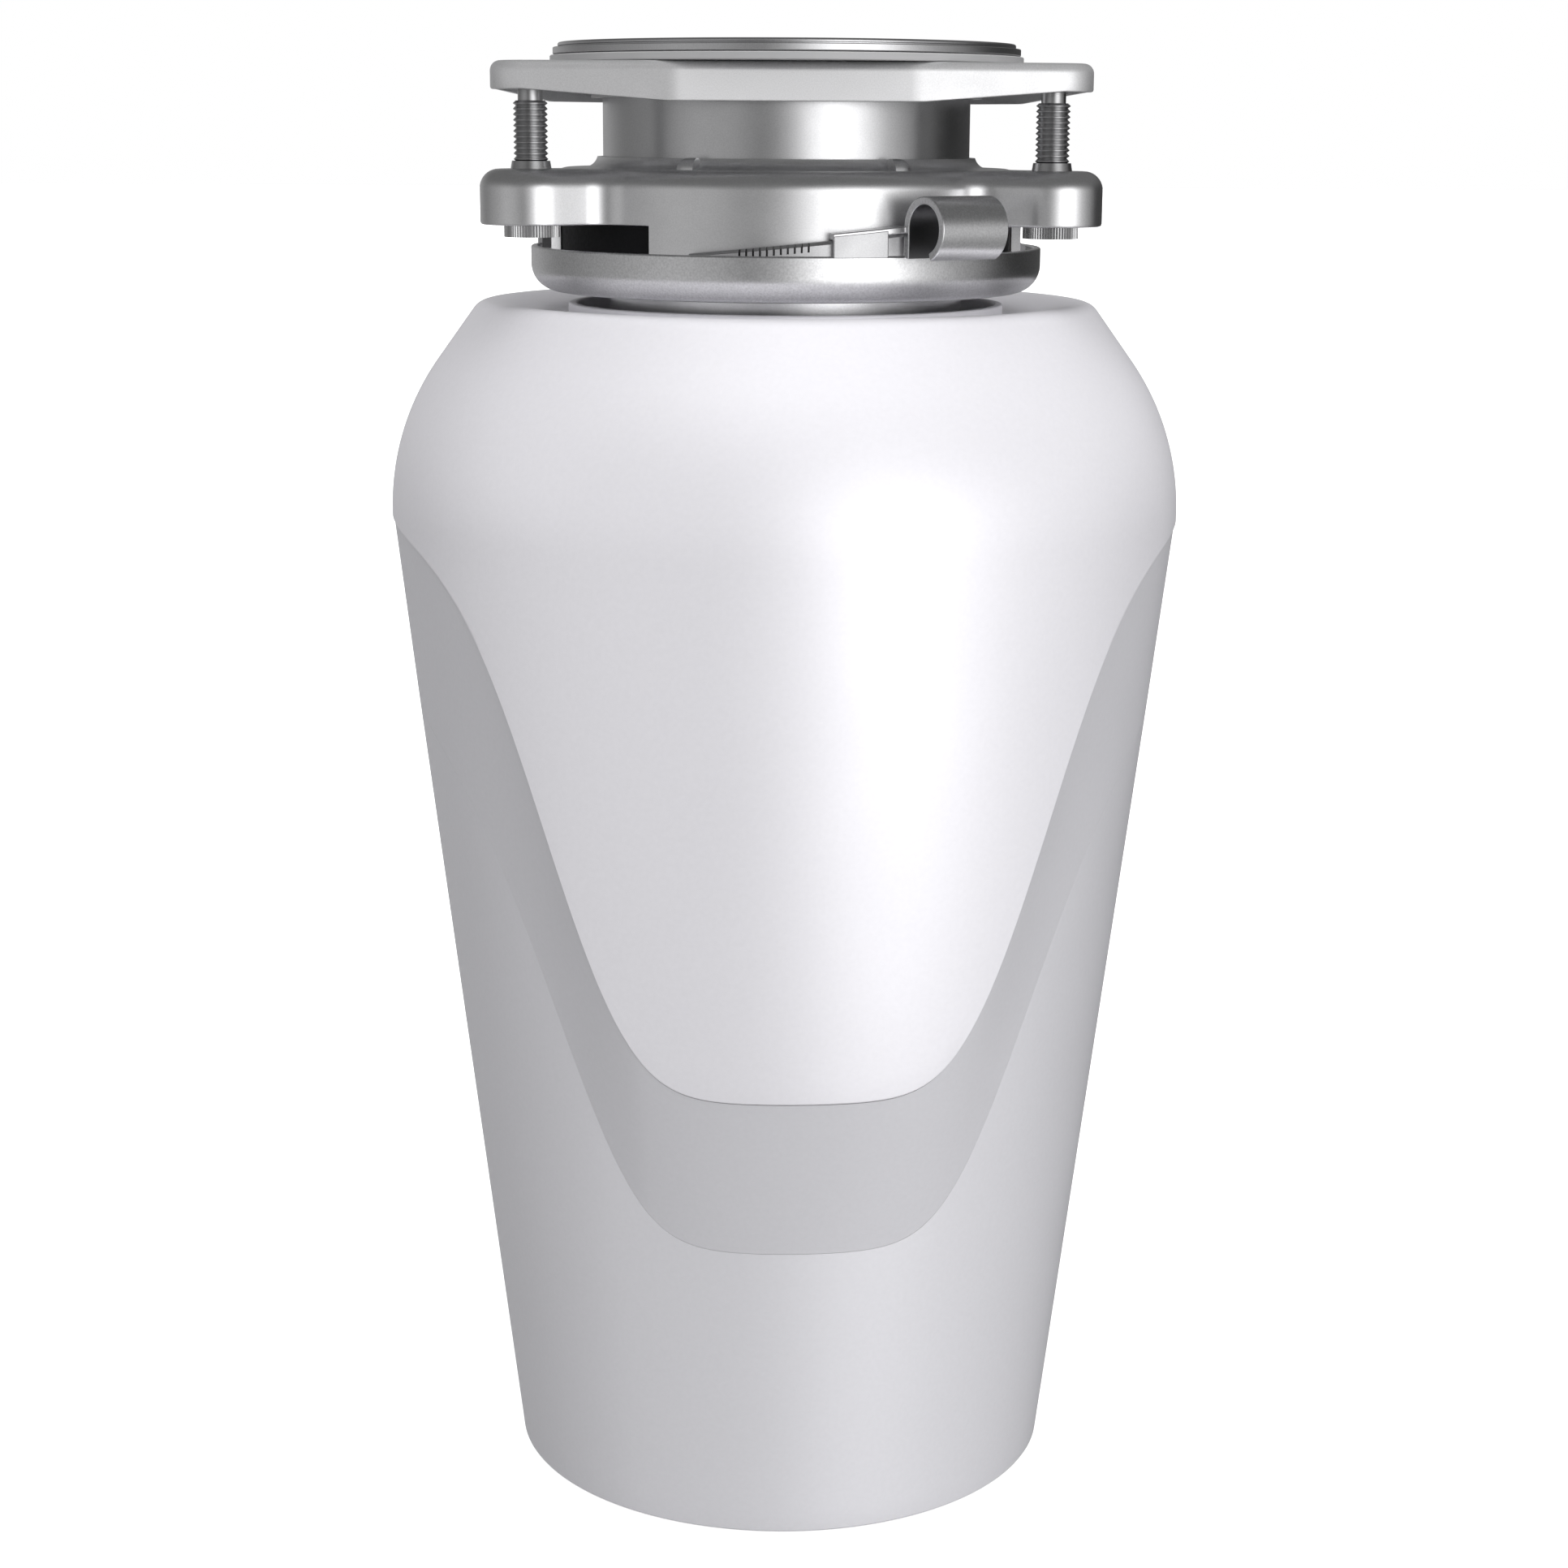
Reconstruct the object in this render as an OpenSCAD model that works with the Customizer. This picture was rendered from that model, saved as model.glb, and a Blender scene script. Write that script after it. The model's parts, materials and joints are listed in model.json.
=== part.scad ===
// Kitchen food waste disposer with its three-screw sink mount.
// Origin: centre of the foot. +Z is up and -Y is the front. Millimetres.

/* [Casing] */
// Outside radius of the casing at its foot
base_r = 68.3; // [67:0.1:70]
// Outside radius at the shoulder, the widest place
waist_r = 97; // [96:0.5:98]
// Height of the widest place
waist_z = 245; // [243:1:247]
// Height of the top edge around the neck opening
crest_z = 295.6; // [295:0.1:296]
// Wall thickness of the casing shells
wall = 2.5; // [2:0.1:3]
// Radius of the opening around the neck
opening_r = 51.1; // [50:0.1:52]
// Height of the lowest point of the apron edge, front and back
apron_z = 118.5; // [112:0.5:122]
// Casing radius at that point
apron_r = 90; // [88:0.5:92]
// Height of the lowest point of the accent band
band_z = 77; // [70:1:84]
// Height that the accent band rises to at the sides
band_side_z = 202; // [196:1:206]
// Gap along the casing seams
seam = 0.2; // [0.1:0.05:0.4]

/* [Sink mount] */
// Outside radius of the sink flange
flange_r = 57; // [56:0.5:58]
// Top of the sink flange
flange_top = 356.4; // [356:0.1:358]
// Outside radius of the throat sleeve, for a 90 mm sink hole
throat_r = 44.4; // [44:0.1:44.6]
// Inside radius of the throat sleeve
throat_bore_r = 42.4; // [42:0.1:42.6]
// Radius of the circle that the three screws stand on
bolt_circle_r = 69.6; // [69.4:0.1:70]
// Radius of each screw thread
thread_r = 3.95; // [3.9:0.01:3.95]
// Thread pitch
pitch = 1.25; // [1:0.25:1.5]
// Outside radius of the swivel ring
swivel_r = 62.1; // [62:0.1:62.4]

/* [Motor and chamber] */
// Outside radius of the motor can
can_r = 60.5; // [60:0.5:61]
// Stator core height
stack_h = 46; // [40:1:48]
// Shaft radius
shaft_r = 7.5; // [7.2:0.1:7.5]
// Radius of the grinding turntable
turntable_r = 61.6; // [61:0.1:61.8]
// Height of the turntable's underside
turntable_z = 190; // [189.8:0.1:190.2]
// Inside radius of the drain outlet
outlet_bore_r = 16.5; // [15:0.5:17]
// Height of the drain outlet
outlet_z = 162; // [160:1:163]

/* [Hidden] */
$fn = 72;
mounts = 3;       // lock ramps, screws and tabs
AROUND = 72;      // facets round a lofted shell
// Casing
SHOULDER_ARC = 62;
SHOULDER_END = 36;
CREST_FILLET = 4.5;
APRON_HALF = 37.8;
APRON_POWER = 5.5;
BAND_HALF = 43.6;
BAND_POWER = 5.3;
apron_arc = ((waist_z - apron_z) ^ 2 + (waist_r - apron_r) ^ 2) / (2 * (waist_r - apron_r));
shell_foot = 0.4;
dish_depth = 3.2;
collar_r = opening_r + 2.1;
collar_z = crest_z - 0.5;
// Mount, from the top down
rim_under = flange_top - 3;
fibre_h = 1.8;
plate_top = rim_under - fibre_h - 0.1;
plate_low = plate_top - 8.9;
plate_lobe_low = 345.1;
plate_lobe_r = 9.1;
plate_flat = 50;
plate_flat_half = 35;
plate_bore_r = throat_r + 0.8;
ring_top = 327.3;
ring_low = 314.7;
ring_floor_z = 323.4;
ring_r = 57.2;
ring_skirt = 2.2;
ring_bore_r = throat_r + 0.5;
dome_r = 48.7;
dome_h = 2.5;
lobe_r = 11.9;
sleeve_low = 319;
groove_z = 321.8;
insert_r = 5.5;
insert_top = 329.1;
skirt_low = 306;
skirt_half = 35.5;
ramp_r = 60;
ramp_half = 24;
ramp_low_z = 309;
ramp_rise = 4.7;
ramp_t = 2.2;
ramp_climb = ramp_rise / (2 * ramp_half);
head_low = 311.9;
head_r = 6.45;
tip_r = 2.85;
tip_z = 342.6;
tip_top = 348.5;
bowl_low = 298;
bowl_t = 1.8;
bowl_corner = 6.5;
bowl_top = 308.75;
tab_from = 7.4;
tab_to = 19.6;
tab_t = 1.5;
lip_to = 23.8;
tab_gap = 0.2;
ear_at = 32;
ear_z = 314.8;
ear_len = 18.5;
ear_r = 7.3;
ear_end = -70;
neck_r = 43;
neck_bore_r = 40;
lip_r = 54.5;
lip_low = bowl_low + bowl_t + 0.4;
lip_top = 303;
// Chamber and motor, from the foot up
cover_low = 4;
cover_top = 7;
bell_low = 24;
bell_top = 30;
bearing_h = 11;
bearing_r = 17.5;
lower_bearing_z = 31;
stack_z = 58;
floor_low = 140.5;
floor_top = 145.5;
chamber_r = 74;
chamber_wall = 3.5;
joint_z = 186;
joint_r = 82;
upper_bearing_z = 130;
seal_z = 163;
impeller_r = 42;
port_face = 84;
outlet_hole_r = 36;
inlet_at = 127.5;
inlet_z = 224;
inlet_r = 11;
bolt_r = 55.5;
reset_at = [-28, -30];
cover_bolt_r = 56.5;
gland_z = 16;
flange_bolt_r = 78;
clamp_bolt_x = 27;
elbow_r = 19;
bend_r = 28;
bend_y = 97;

// ---------- Helpers ----------

function mix(a, b, t) = a + (b - a) * t;
function arc(c, r, from, to, n = 8) =
    [for (i = [0:n]) c + r * [cos(mix(from, to, i / n)), sin(mix(from, to, i / n))]];
function cosine_step(p, q, n = 6) =
    [for (i = [0:n]) [mix(p.x, q.x, i / n), mix(p.y, q.y, (1 - cos(180 * i / n)) / 2)]];
function flat(lists) = [for (l = lists) for (p = l) p];

module tube(r_out, r_in, z0, z1) {
    rotate_extrude() translate([r_in, z0]) square([r_out - r_in, z1 - z0]);
}

module rod(r, z0, z1) {
    translate([0, 0, z0]) cylinder(r = r, h = z1 - z0);
}

module round_about(n, from = 0) {
    for (k = [0:n - 1]) rotate([0, 0, from + k * 360 / n]) children();
}

// Joins rings of points one after the other, and the last to the first.
module loft(rings) {
    m = len(rings);
    n = len(rings[0]);
    polyhedron(points = flat(rings), faces = flat([for (j = [0:m - 1]) for (i = [0:n - 1])
        let (a = j * n + i, b = j * n + (i + 1) % n, c = ((j + 1) % m) * n + (i + 1) % n,
            d = ((j + 1) % m) * n + i)
        [[a, d, c], [a, c, b]]]));
}

// A sector of a ring whose underside and top can climb with the angle, in mm per degree.
module climbing_sector(r0, r1, a0, a1, z0, z1, climb_low, climb_top, n = 12) {
    sections = [for (i = [0:n])
        let (a = mix(a0, a1, i / n), d = [cos(a), sin(a)],
        low = z0 + climb_low * (a - a0), top = z1 + climb_top * (a - a0))
        [[d.x * r0, d.y * r0, low], [d.x * r1, d.y * r1, low], [d.x * r1, d.y * r1, top],
        [d.x * r0, d.y * r0, top]]];
    sides = [for (i = [0:n - 1]) for (k = [0:3])
        [4 * i + k, 4 * i + (k + 1) % 4, 4 * (i + 1) + (k + 1) % 4, 4 * (i + 1) + k]];
    split = flat([for (f = sides) [[f[0], f[1], f[2]], [f[0], f[2], f[3]]]]);
    ends = [[0, 2, 1], [0, 3, 2], [4 * n, 4 * n + 1, 4 * n + 2], [4 * n, 4 * n + 2, 4 * n + 3]];
    polyhedron(points = flat(sections), faces = concat(split, ends));
}

// A helical coil of round wire.
module coil(r, wire, z0, z1, turns, sides = 8, per_turn = 20) {
    n = turns * per_turn;
    sections = [for (i = [0:n]) let (a = 360 * i / per_turn, z = mix(z0 + wire, z1 - wire, i / n))
        [for (k = [0:sides - 1]) let (b = 360 * k / sides)
            [(r + wire * cos(b)) * cos(a), (r + wire * cos(b)) * sin(a), z + wire * sin(b)]]];
    sides_of = flat([for (i = [0:n - 1]) for (k = [0:sides - 1])
        let (a = i * sides + k, b = i * sides + (k + 1) % sides, c = b + sides, d = a + sides)
        [[a, b, c], [a, c, d]]]);
    ends = flat([for (k = [1:sides - 2])
        [[0, k + 1, k], [n * sides, n * sides + k, n * sides + k + 1]]]);
    polyhedron(points = flat(sections), faces = concat(sides_of, ends));
}

// ---------- Casing ----------

// Angle from the nearer of the front and the back, for a direction given in degrees.
function fold(a) = let (f = abs((a + 90) % 360), g = f > 180 ? 360 - f : f) g > 90 ? 180 - g : g;
function hill(a, half, power) = let (u = (a / half) ^ power) u / (1 + u);
function apron_edge(a) = mix(apron_z, waist_z, hill(fold(a), APRON_HALF, APRON_POWER));
function band_edge(a) = mix(band_z, band_side_z, hill(fold(a), BAND_HALF, BAND_POWER));
function cone_r(z) = mix(base_r, waist_r, z / waist_z);
function face_r(z) = z < waist_z
    ? waist_r - apron_arc + sqrt(apron_arc ^ 2 - (waist_z - z) ^ 2)
    : waist_r - SHOULDER_ARC + sqrt(SHOULDER_ARC ^ 2 - (z - waist_z) ^ 2);
function direction(i) = 360 * i / AROUND;
function ring_at(i, r, z) = [r * cos(direction(i)), r * sin(direction(i)), z];

// Shoulder, crest, dish and collar as [radius, height], from the waist over the top to the waist inside.
function shoulder_profile() =
    let (
        c = [waist_r - SHOULDER_ARC, waist_z],
        end = c + SHOULDER_ARC * [cos(SHOULDER_END), sin(SHOULDER_END)],
        fillet_z = crest_z - CREST_FILLET,
        touch_z = fillet_z + CREST_FILLET * sin(SHOULDER_END),
        crest_r = end.x - tan(SHOULDER_END) * (touch_z - end.y) - CREST_FILLET * cos(SHOULDER_END),
        dish = [collar_r + 4, crest_z - dish_depth]
    )
    concat(
        arc(c, SHOULDER_ARC, 6, SHOULDER_END, 5),
        arc([crest_r, fillet_z], CREST_FILLET, SHOULDER_END, 90, 3),
        cosine_step([crest_r - 1, crest_z], dish, 4),
        [[collar_r, dish.y], [collar_r, collar_z], [opening_r, collar_z], [opening_r, dish.y - 6]],
        [[collar_r, dish.y - 6], [collar_r, dish.y - wall], [dish.x, dish.y - wall],
        [crest_r - 1, crest_z - wall]],
        arc([crest_r, fillet_z], CREST_FILLET - wall, 90, SHOULDER_END, 1),
        arc(c, SHOULDER_ARC - wall, SHOULDER_END, 6, 3)
    );

module upper_shell() {
    levels = 4;
    rows = [for (t = [0:levels]) [for (i = [0:AROUND - 1])
        mix(apron_edge(direction(i)) + seam, waist_z, t / levels)]];
    outer = [for (row = rows) [for (i = [0:AROUND - 1]) ring_at(i, face_r(row[i]), row[i])]];
    top = [for (p = shoulder_profile()) [for (i = [0:AROUND - 1]) ring_at(i, p.x, p.y)]];
    inner = [for (t = [levels:-1:0]) [for (i = [0:AROUND - 1])
        ring_at(i, face_r(rows[t][i]) - wall, rows[t][i])]];
    color("white") difference() {
        loft(concat(outer, top, inner));
        translate([0, chamber_r, outlet_z]) rotate([-90, 0, 0]) cylinder(r = outlet_hole_r, h = 40);
        rotate([0, 0, inlet_at]) translate([chamber_r, 0, inlet_z]) rotate([0, 90, 0])
            cylinder(r = inlet_r + 2, h = 40);
    }
}

module accent_band() {
    reveal = 0.4;
    low = [for (i = [0:AROUND - 1]) band_edge(direction(i)) + seam];
    high = [for (i = [0:AROUND - 1]) apron_edge(direction(i))];
    color("silver") loft([
        [for (i = [0:AROUND - 1]) ring_at(i, cone_r(low[i]), low[i])],
        [for (i = [0:AROUND - 1]) ring_at(i, face_r(high[i]) - reveal, high[i])],
        [for (i = [0:AROUND - 1]) ring_at(i, face_r(high[i]) - reveal - wall, high[i])],
        [for (i = [0:AROUND - 1]) ring_at(i, cone_r(low[i]) - wall, low[i])]
    ]);
}

module lower_shell() {
    high = [for (i = [0:AROUND - 1]) band_edge(direction(i))];
    color("gainsboro") difference() {
        loft([
            [for (i = [0:AROUND - 1]) ring_at(i, cone_r(shell_foot), shell_foot)],
            [for (i = [0:AROUND - 1]) ring_at(i, cone_r(high[i]), high[i])],
            [for (i = [0:AROUND - 1]) ring_at(i, cone_r(high[i]) - wall, high[i])],
            [for (i = [0:AROUND - 1]) ring_at(i, cone_r(shell_foot) - wall, shell_foot)]
        ]);
        translate([0, 55, gland_z]) rotate([-90, 0, 0]) cylinder(r = 6.3, h = 30);
    }
}

module bottom_cover() {
    foot_r = base_r - wall - 0.4;
    color("dimgray") difference() {
        union() {
            tube(foot_r, foot_r - 4, 0, cover_low + 1);
            rod(foot_r, cover_low, cover_top);
            round_about(3, 30) translate([cover_bolt_r, 0, cover_low])
                cylinder(r = 4.5, h = bell_low - cover_low);
            rod(12, 0, cover_top);
        }
        rod(9, -1, 10);
        translate([reset_at.x, reset_at.y, -1]) cylinder(r = 4.3, h = 10);
        round_about(3, 30) translate([cover_bolt_r, 0, -1]) cylinder(r = 2.2, h = 30);
        for (k = [-2:2]) rotate([0, 0, 90 + 14 * k]) translate([34, -1.5, -1]) cube([18, 3, 10]);
    }
}

module cover_screws() {
    color("gray") round_about(3, 30) translate([cover_bolt_r, 0, 0]) difference() {
        union() {
            rod(3.6, cover_low - 2.2, cover_low);
            rod(2, cover_low - 0.5, bell_top - 1);
        }
        translate([-2.4, -0.4, 0]) cube([4.8, 0.8, cover_low - 1.2]);
        translate([-0.4, -2.4, 0]) cube([0.8, 4.8, cover_low - 1.2]);
    }
}

module sound_liner() {
    z0 = 27;
    z1 = 70;
    t = 4;
    color("darkslategray") rotate_extrude() polygon([
        [cone_r(z0) - wall - 1 - t, z0], [cone_r(z0) - wall - 1, z0],
        [cone_r(z1) - wall - 1, z1], [cone_r(z1) - wall - 1 - t, z1]
    ]);
}

// ---------- Sink mount ----------

module sink_flange() {
    color("lightgray") difference() {
        rotate_extrude() polygon(concat(
            [[throat_bore_r, sleeve_low], [throat_r, sleeve_low], [throat_r, rim_under],
            [flange_r - 1.6, rim_under]],
            [[flange_r - 1.4, rim_under + 0.25], [flange_r - 0.7, rim_under + 0.25]],
            [[flange_r - 0.7, flange_top - 1.15], [flange_r - 2.3, flange_top - 1.15],
            [flange_r - 2.3, flange_top - 0.9]],
            [[flange_r - 1.9, flange_top - 0.9], [flange_r - 1.9, flange_top - 0.4],
            [flange_r - 2.7, flange_top]],
            arc([throat_bore_r + 8, flange_top - 8], 8, 90, 180, 6),
            [[throat_bore_r, flange_top - 10]]
        ));
        tube(throat_r + 1, throat_r - 1, groove_z - 1.2, groove_z + 1.2);
    }
}

module fibre_gasket() {
    color("dimgray") tube(flange_r, throat_r + 0.4, rim_under - fibre_h, rim_under);
}

module snap_ring() {
    color("silver") difference() {
        rotate_extrude() translate([throat_r + 0.25, groove_z]) circle(r = 1.1, $fn = 24);
        rotate([0, 0, 90]) translate([throat_r - 4, -3, groove_z - 3]) cube([8, 6, 6]);
    }
}

function plate_corners() = [for (k = [0:mounts - 1]) for (s = [-1, 1])
    let (a = -90 + k * 120, n = [cos(a), sin(a)], t = [-sin(a), cos(a)])
        plate_flat * n + s * plate_flat_half * t];

module plate_outline() {
    hull() {
        round_about(mounts, -30) translate([bolt_circle_r, 0]) circle(r = plate_lobe_r, $fn = 32);
        polygon(plate_corners());
    }
}

module backup_plate() {
    skin = 2.4;
    color("silver") difference() {
        translate([0, 0, plate_low]) linear_extrude(plate_top - plate_low) plate_outline();
        translate([0, 0, plate_low - 1]) linear_extrude(plate_top - plate_low + 1 - skin)
            offset(delta = -1.6) plate_outline();
        rod(plate_bore_r, plate_low - 2, plate_top + 1);
        round_about(mounts, -30) translate([55.3, -30, plate_low]) rotate([0, -9.6, 0])
            translate([0, 0, -12]) cube([40, 60, 12]);
    }
    color("silver") difference() {
        union() {
            tube(plate_bore_r + 2, plate_bore_r, plate_low + 1, plate_top - 1);
            round_about(mounts, -30) translate([bolt_circle_r, 0, plate_lobe_low + 1])
                cylinder(r = 4.6, h = plate_top - plate_lobe_low - 2);
        }
        round_about(mounts, -30) translate([bolt_circle_r, 0, plate_lobe_low - 1])
            cylinder(r = tip_r + 0.15, h = tip_top + 1.1 - plate_lobe_low);
    }
}

module mounting_ring() {
    color("silver") difference() {
        union() {
            rotate_extrude() polygon(concat(
                [[ring_bore_r, ring_low], [ring_r, ring_low]],
                arc([ring_r - 2, ring_top - 2], 2, 0, 90, 4),
                [for (i = [0:5]) [dome_r - 3 * sin(15 * i), ring_top + dome_h * (1 - cos(18 * i))]],
                [[ring_bore_r, ring_top + dome_h]]
            ));
            round_about(mounts, -30) {
                translate([ring_r - 5, -lobe_r + 0.4, ring_low])
                    cube([bolt_circle_r - ring_r + 5, 2 * lobe_r - 0.8, ring_top - ring_low]);
                translate([bolt_circle_r, 0, ring_low]) cylinder(r = lobe_r, h = ring_top - ring_low);
            }
            round_about(mounts, -90 - skirt_half) rotate_extrude(angle = 2 * skirt_half)
                translate([ring_r - ring_skirt + 0.15, skirt_low])
                    square([ring_skirt - 0.3, ring_low - skirt_low + 2]);
            round_about(mounts, -90)
                climbing_sector(ring_r - 1, ramp_r, -ramp_half, ramp_half, ramp_low_z - ramp_t,
                    ramp_low_z, ramp_climb, ramp_climb);
        }
        rod(ring_r - ring_skirt, ring_low - 1, ring_floor_z);
        round_about(mounts, -30) translate([bolt_circle_r, 0, ring_low - 1])
            cylinder(r = insert_r, h = 20);
        round_about(mounts, -90) for (k = [0:9]) rotate([0, 0, -8 + 2 * k])
            translate([ramp_r - 2.2, -0.36, ramp_low_z - 3]) cube([4, 0.72, 7]);
    }
}

module threaded_inserts() {
    color("gray") round_about(mounts, -30) translate([bolt_circle_r, 0, 0]) difference() {
        union() {
            rod(insert_r, ring_low, ring_top);
            translate([0, 0, ring_top]) cylinder(r1 = 4.7, r2 = 4.4, h = insert_top - ring_top);
        }
        rod(thread_r + 0.07, ring_low - 1, insert_top + 1);
    }
}

module mounting_screw(k) {
    turns = 21;
    top = tip_z;
    low = top - turns * pitch;
    depth = 0.62;
    color("lightgray") rotate([0, 0, k * 120 - 30]) translate([bolt_circle_r, 0, 0]) difference() {
        union() {
            rod(head_r, head_low, ring_low - 0.05);
            rotate_extrude() polygon(concat(
                [[0, ring_low - 0.6], [thread_r - depth, ring_low - 0.6]],
                flat([for (i = [0:turns - 1]) let (z = low + i * pitch)
                    [[thread_r - depth, z + 0.1], [thread_r, z + pitch / 2 - 0.06],
                    [thread_r, z + pitch / 2 + 0.06]]]),
                [[thread_r - depth, top], [0, top]]
            ));
        }
        translate([-4.5, -0.8, head_low - 1]) cube([9, 1.6, 2.2]);
        for (i = [0:59]) rotate([0, 0, 6 * i]) translate([head_r, 0, head_low - 1])
            cylinder(r = 0.24, h = 5, $fn = 4);
    }
}

module screw_tip(k) {
    color("gray") rotate([0, 0, k * 120 - 30]) translate([bolt_circle_r, 0, 0]) rotate_extrude() polygon([
        [0, tip_z], [tip_r, tip_z], [tip_r, tip_top - 0.6], [tip_r - 0.6, tip_top], [0, tip_top]
    ]);
}

module swivel_tab() {
    under = ramp_low_z + ramp_climb * (tab_from + ramp_half) + tab_gap;
    climbing_sector(ramp_r - 2.4, swivel_r - 0.1, tab_from, lip_to, under, under + tab_t, ramp_climb,
        ramp_climb, 8);
    climbing_sector(ramp_r + 0.5, swivel_r - 0.2, tab_from + 0.1, tab_to - 0.1, bowl_top - 2,
        under + 0.6, 0, ramp_climb, 6);
}

module wrench_ear(at) {
    reach = swivel_r - bowl_t + 0.3 + ear_r;
    rotate([0, 0, -90 + at]) translate([reach, 0, ear_z]) rotate([90, 0, 0]) {
        linear_extrude(ear_len, center = true) polygon(concat(
            arc([0, 0], ear_r, 180, ear_end, 20),
            arc([0, 0], ear_r - bowl_t, ear_end, 180, 20)
        ));
        translate([-ear_r, bowl_top - ear_z - 0.6, -ear_len / 2])
            cube([bowl_t, ear_z - bowl_top + 1.1, ear_len]);
    }
}

module swivel_ring() {
    in_r = bowl_corner - bowl_t;
    c = [swivel_r - bowl_corner, bowl_low + bowl_corner];
    color("silver") {
        rotate_extrude() polygon(concat(
            [[neck_r + 1.2, bowl_low]],
            arc(c, bowl_corner, -90, 0, 8),
            [[swivel_r, bowl_top], [swivel_r - bowl_t, bowl_top]],
            arc(c, in_r, 0, -90, 8),
            [[neck_r + 1.2, bowl_low + bowl_t]]
        ));
        round_about(mounts, -90) swivel_tab();
        wrench_ear(ear_at);
        wrench_ear(ear_at + 120);
    }
}

module mounting_gasket() {
    color("black") {
        tube(lip_r, 41, lip_top, lip_top + 2);
        tube(ring_r - ring_skirt - 0.3, 41, lip_top + 1, sleeve_low - 0.1);
    }
}

module splash_baffle() {
    flaps = 8;
    color("black") difference() {
        union() {
            tube(40.8, 37.5, lip_top + 0.2, lip_top + 15);
            rotate_extrude() polygon([[9, 303.2], [38.5, 305.2], [38.5, 307.2], [9, 305]]);
        }
        for (k = [0:flaps - 1]) rotate([0, 0, k * 360 / flaps]) translate([8, -0.4, 300])
            cube([27, 0.8, 9]);
    }
}

// ---------- Hopper and grinding chamber ----------

module hopper() {
    low = joint_z + 0.5;
    step_z = 208;
    color("slategray") difference() {
        union() {
            rotate_extrude() polygon([
                [66.1, low], [joint_r, low], [joint_r, low + 4], [71, low + 4], [71, 236],
                [neck_r, 284], [neck_r, lip_low], [lip_r, lip_low], [lip_r, lip_top],
                [neck_bore_r, lip_top], [neck_bore_r, 281], [65, 234], [65, step_z], [66.1, step_z]
            ]);
            rotate([0, 0, inlet_at]) translate([67.5, 0, inlet_z]) rotate([0, 90, 0]) {
                cylinder(r = inlet_r + 1, h = 31);
                cylinder(r = inlet_r, h = 46);
            }
        }
        rotate([0, 0, inlet_at]) translate([60, 0, inlet_z]) rotate([0, 90, 0])
            cylinder(r = inlet_r - 2.5, h = 60);
        round_about(6, 0) translate([flange_bolt_r, 0, joint_z - 1]) cylinder(r = 2.6, h = 10);
    }
}

module dishwasher_plug() {
    color("dimgray") rotate([0, 0, inlet_at]) translate([68, 0, inlet_z]) rotate([0, 90, 0])
        cylinder(r = inlet_r - 2.5, h = 2.5);
}

module hopper_gasket() {
    color("black") tube(joint_r - 8.5, chamber_r - chamber_wall, joint_z - 1.5, joint_z + 0.5);
}

module hopper_bolts() {
    color("silver") round_about(6, 0) translate([flange_bolt_r, 0, 0]) {
        rod(2.5, joint_z - 9, joint_z + 6);
        translate([0, 0, joint_z + 4.5]) cylinder(r = 3.8, h = 3, $fn = 6);
        translate([0, 0, joint_z - 8.7]) cylinder(r = 3.8, h = 3.2, $fn = 6);
    }
}

module grind_ring() {
    ring_in = turntable_r + 0.6;
    color("darkgray") difference() {
        tube(66.05, ring_in, joint_z + 1, 207.9);
        for (k = [0:23]) rotate([0, 0, 15 * k]) translate([ring_in - 1, -2.2, joint_z - 1])
            cube([2.8, 4.4, 17]);
    }
}

// The plate round the outlet, with ends that follow the hole in the casing.
module port_plate(y, thick) {
    translate([0, y, outlet_z]) rotate([-90, 0, 0]) linear_extrude(thick) intersection() {
        square([66, 40], center = true);
        circle(r = outlet_hole_r - 0.8);
    }
}

module drain_chamber() {
    top = joint_z - 1.5;
    color("silver") difference() {
        union() {
            difference() {
                union() {
                    rod(chamber_r, floor_low, top);
                    rod(joint_r, top - 4, top);
                    translate([0, 0, outlet_z]) rotate([-90, 0, 0])
                        cylinder(r = outlet_bore_r + 4, h = port_face);
                    port_plate(port_face - 5, 5);
                }
                rod(chamber_r - chamber_wall, floor_top, joint_z);
            }
            rod(24, upper_bearing_z - 2, floor_low + 1);
            rod(17, floor_top - 1, seal_z + 7);
        }
        rod(bearing_r, upper_bearing_z - 3, upper_bearing_z + bearing_h);
        rod(12, seal_z, seal_z + 10);
        rod(shaft_r + 1.2, floor_low - 2, seal_z + 1);
        translate([0, 40, outlet_z]) rotate([-90, 0, 0]) cylinder(r = outlet_bore_r, h = port_face);
        for (s = [-1, 1]) translate([s * clamp_bolt_x, port_face - 9, outlet_z]) rotate([-90, 0, 0])
            cylinder(r = 2.4, h = 12);
        round_about(6, 0) translate([flange_bolt_r, 0, top - 6]) cylinder(r = 2.6, h = 10);
        round_about(4, 45) translate([bolt_r, 0, floor_low - 1]) cylinder(r = 2.1, h = 4);
    }
}

module outlet_gasket() {
    color("black") translate([0, port_face, outlet_z]) rotate([-90, 0, 0])
        tube(23.5, outlet_bore_r, 0, 2);
}

module outlet_elbow() {
    start = port_face + 2;
    drop = 30;
    color("dimgray") {
        translate([0, 0, outlet_z]) rotate([-90, 0, 0]) {
            tube(23.5, outlet_bore_r, start, start + 3);
            tube(elbow_r, outlet_bore_r, start, bend_y);
        }
        translate([0, bend_y, outlet_z - bend_r]) rotate([90, 0, 90]) rotate_extrude(angle = 90)
            translate([bend_r, 0]) difference() {
                circle(r = elbow_r);
                circle(r = outlet_bore_r);
            }
        translate([0, bend_y + bend_r, outlet_z - bend_r - drop]) tube(elbow_r, outlet_bore_r, 0, drop);
    }
}

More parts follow.
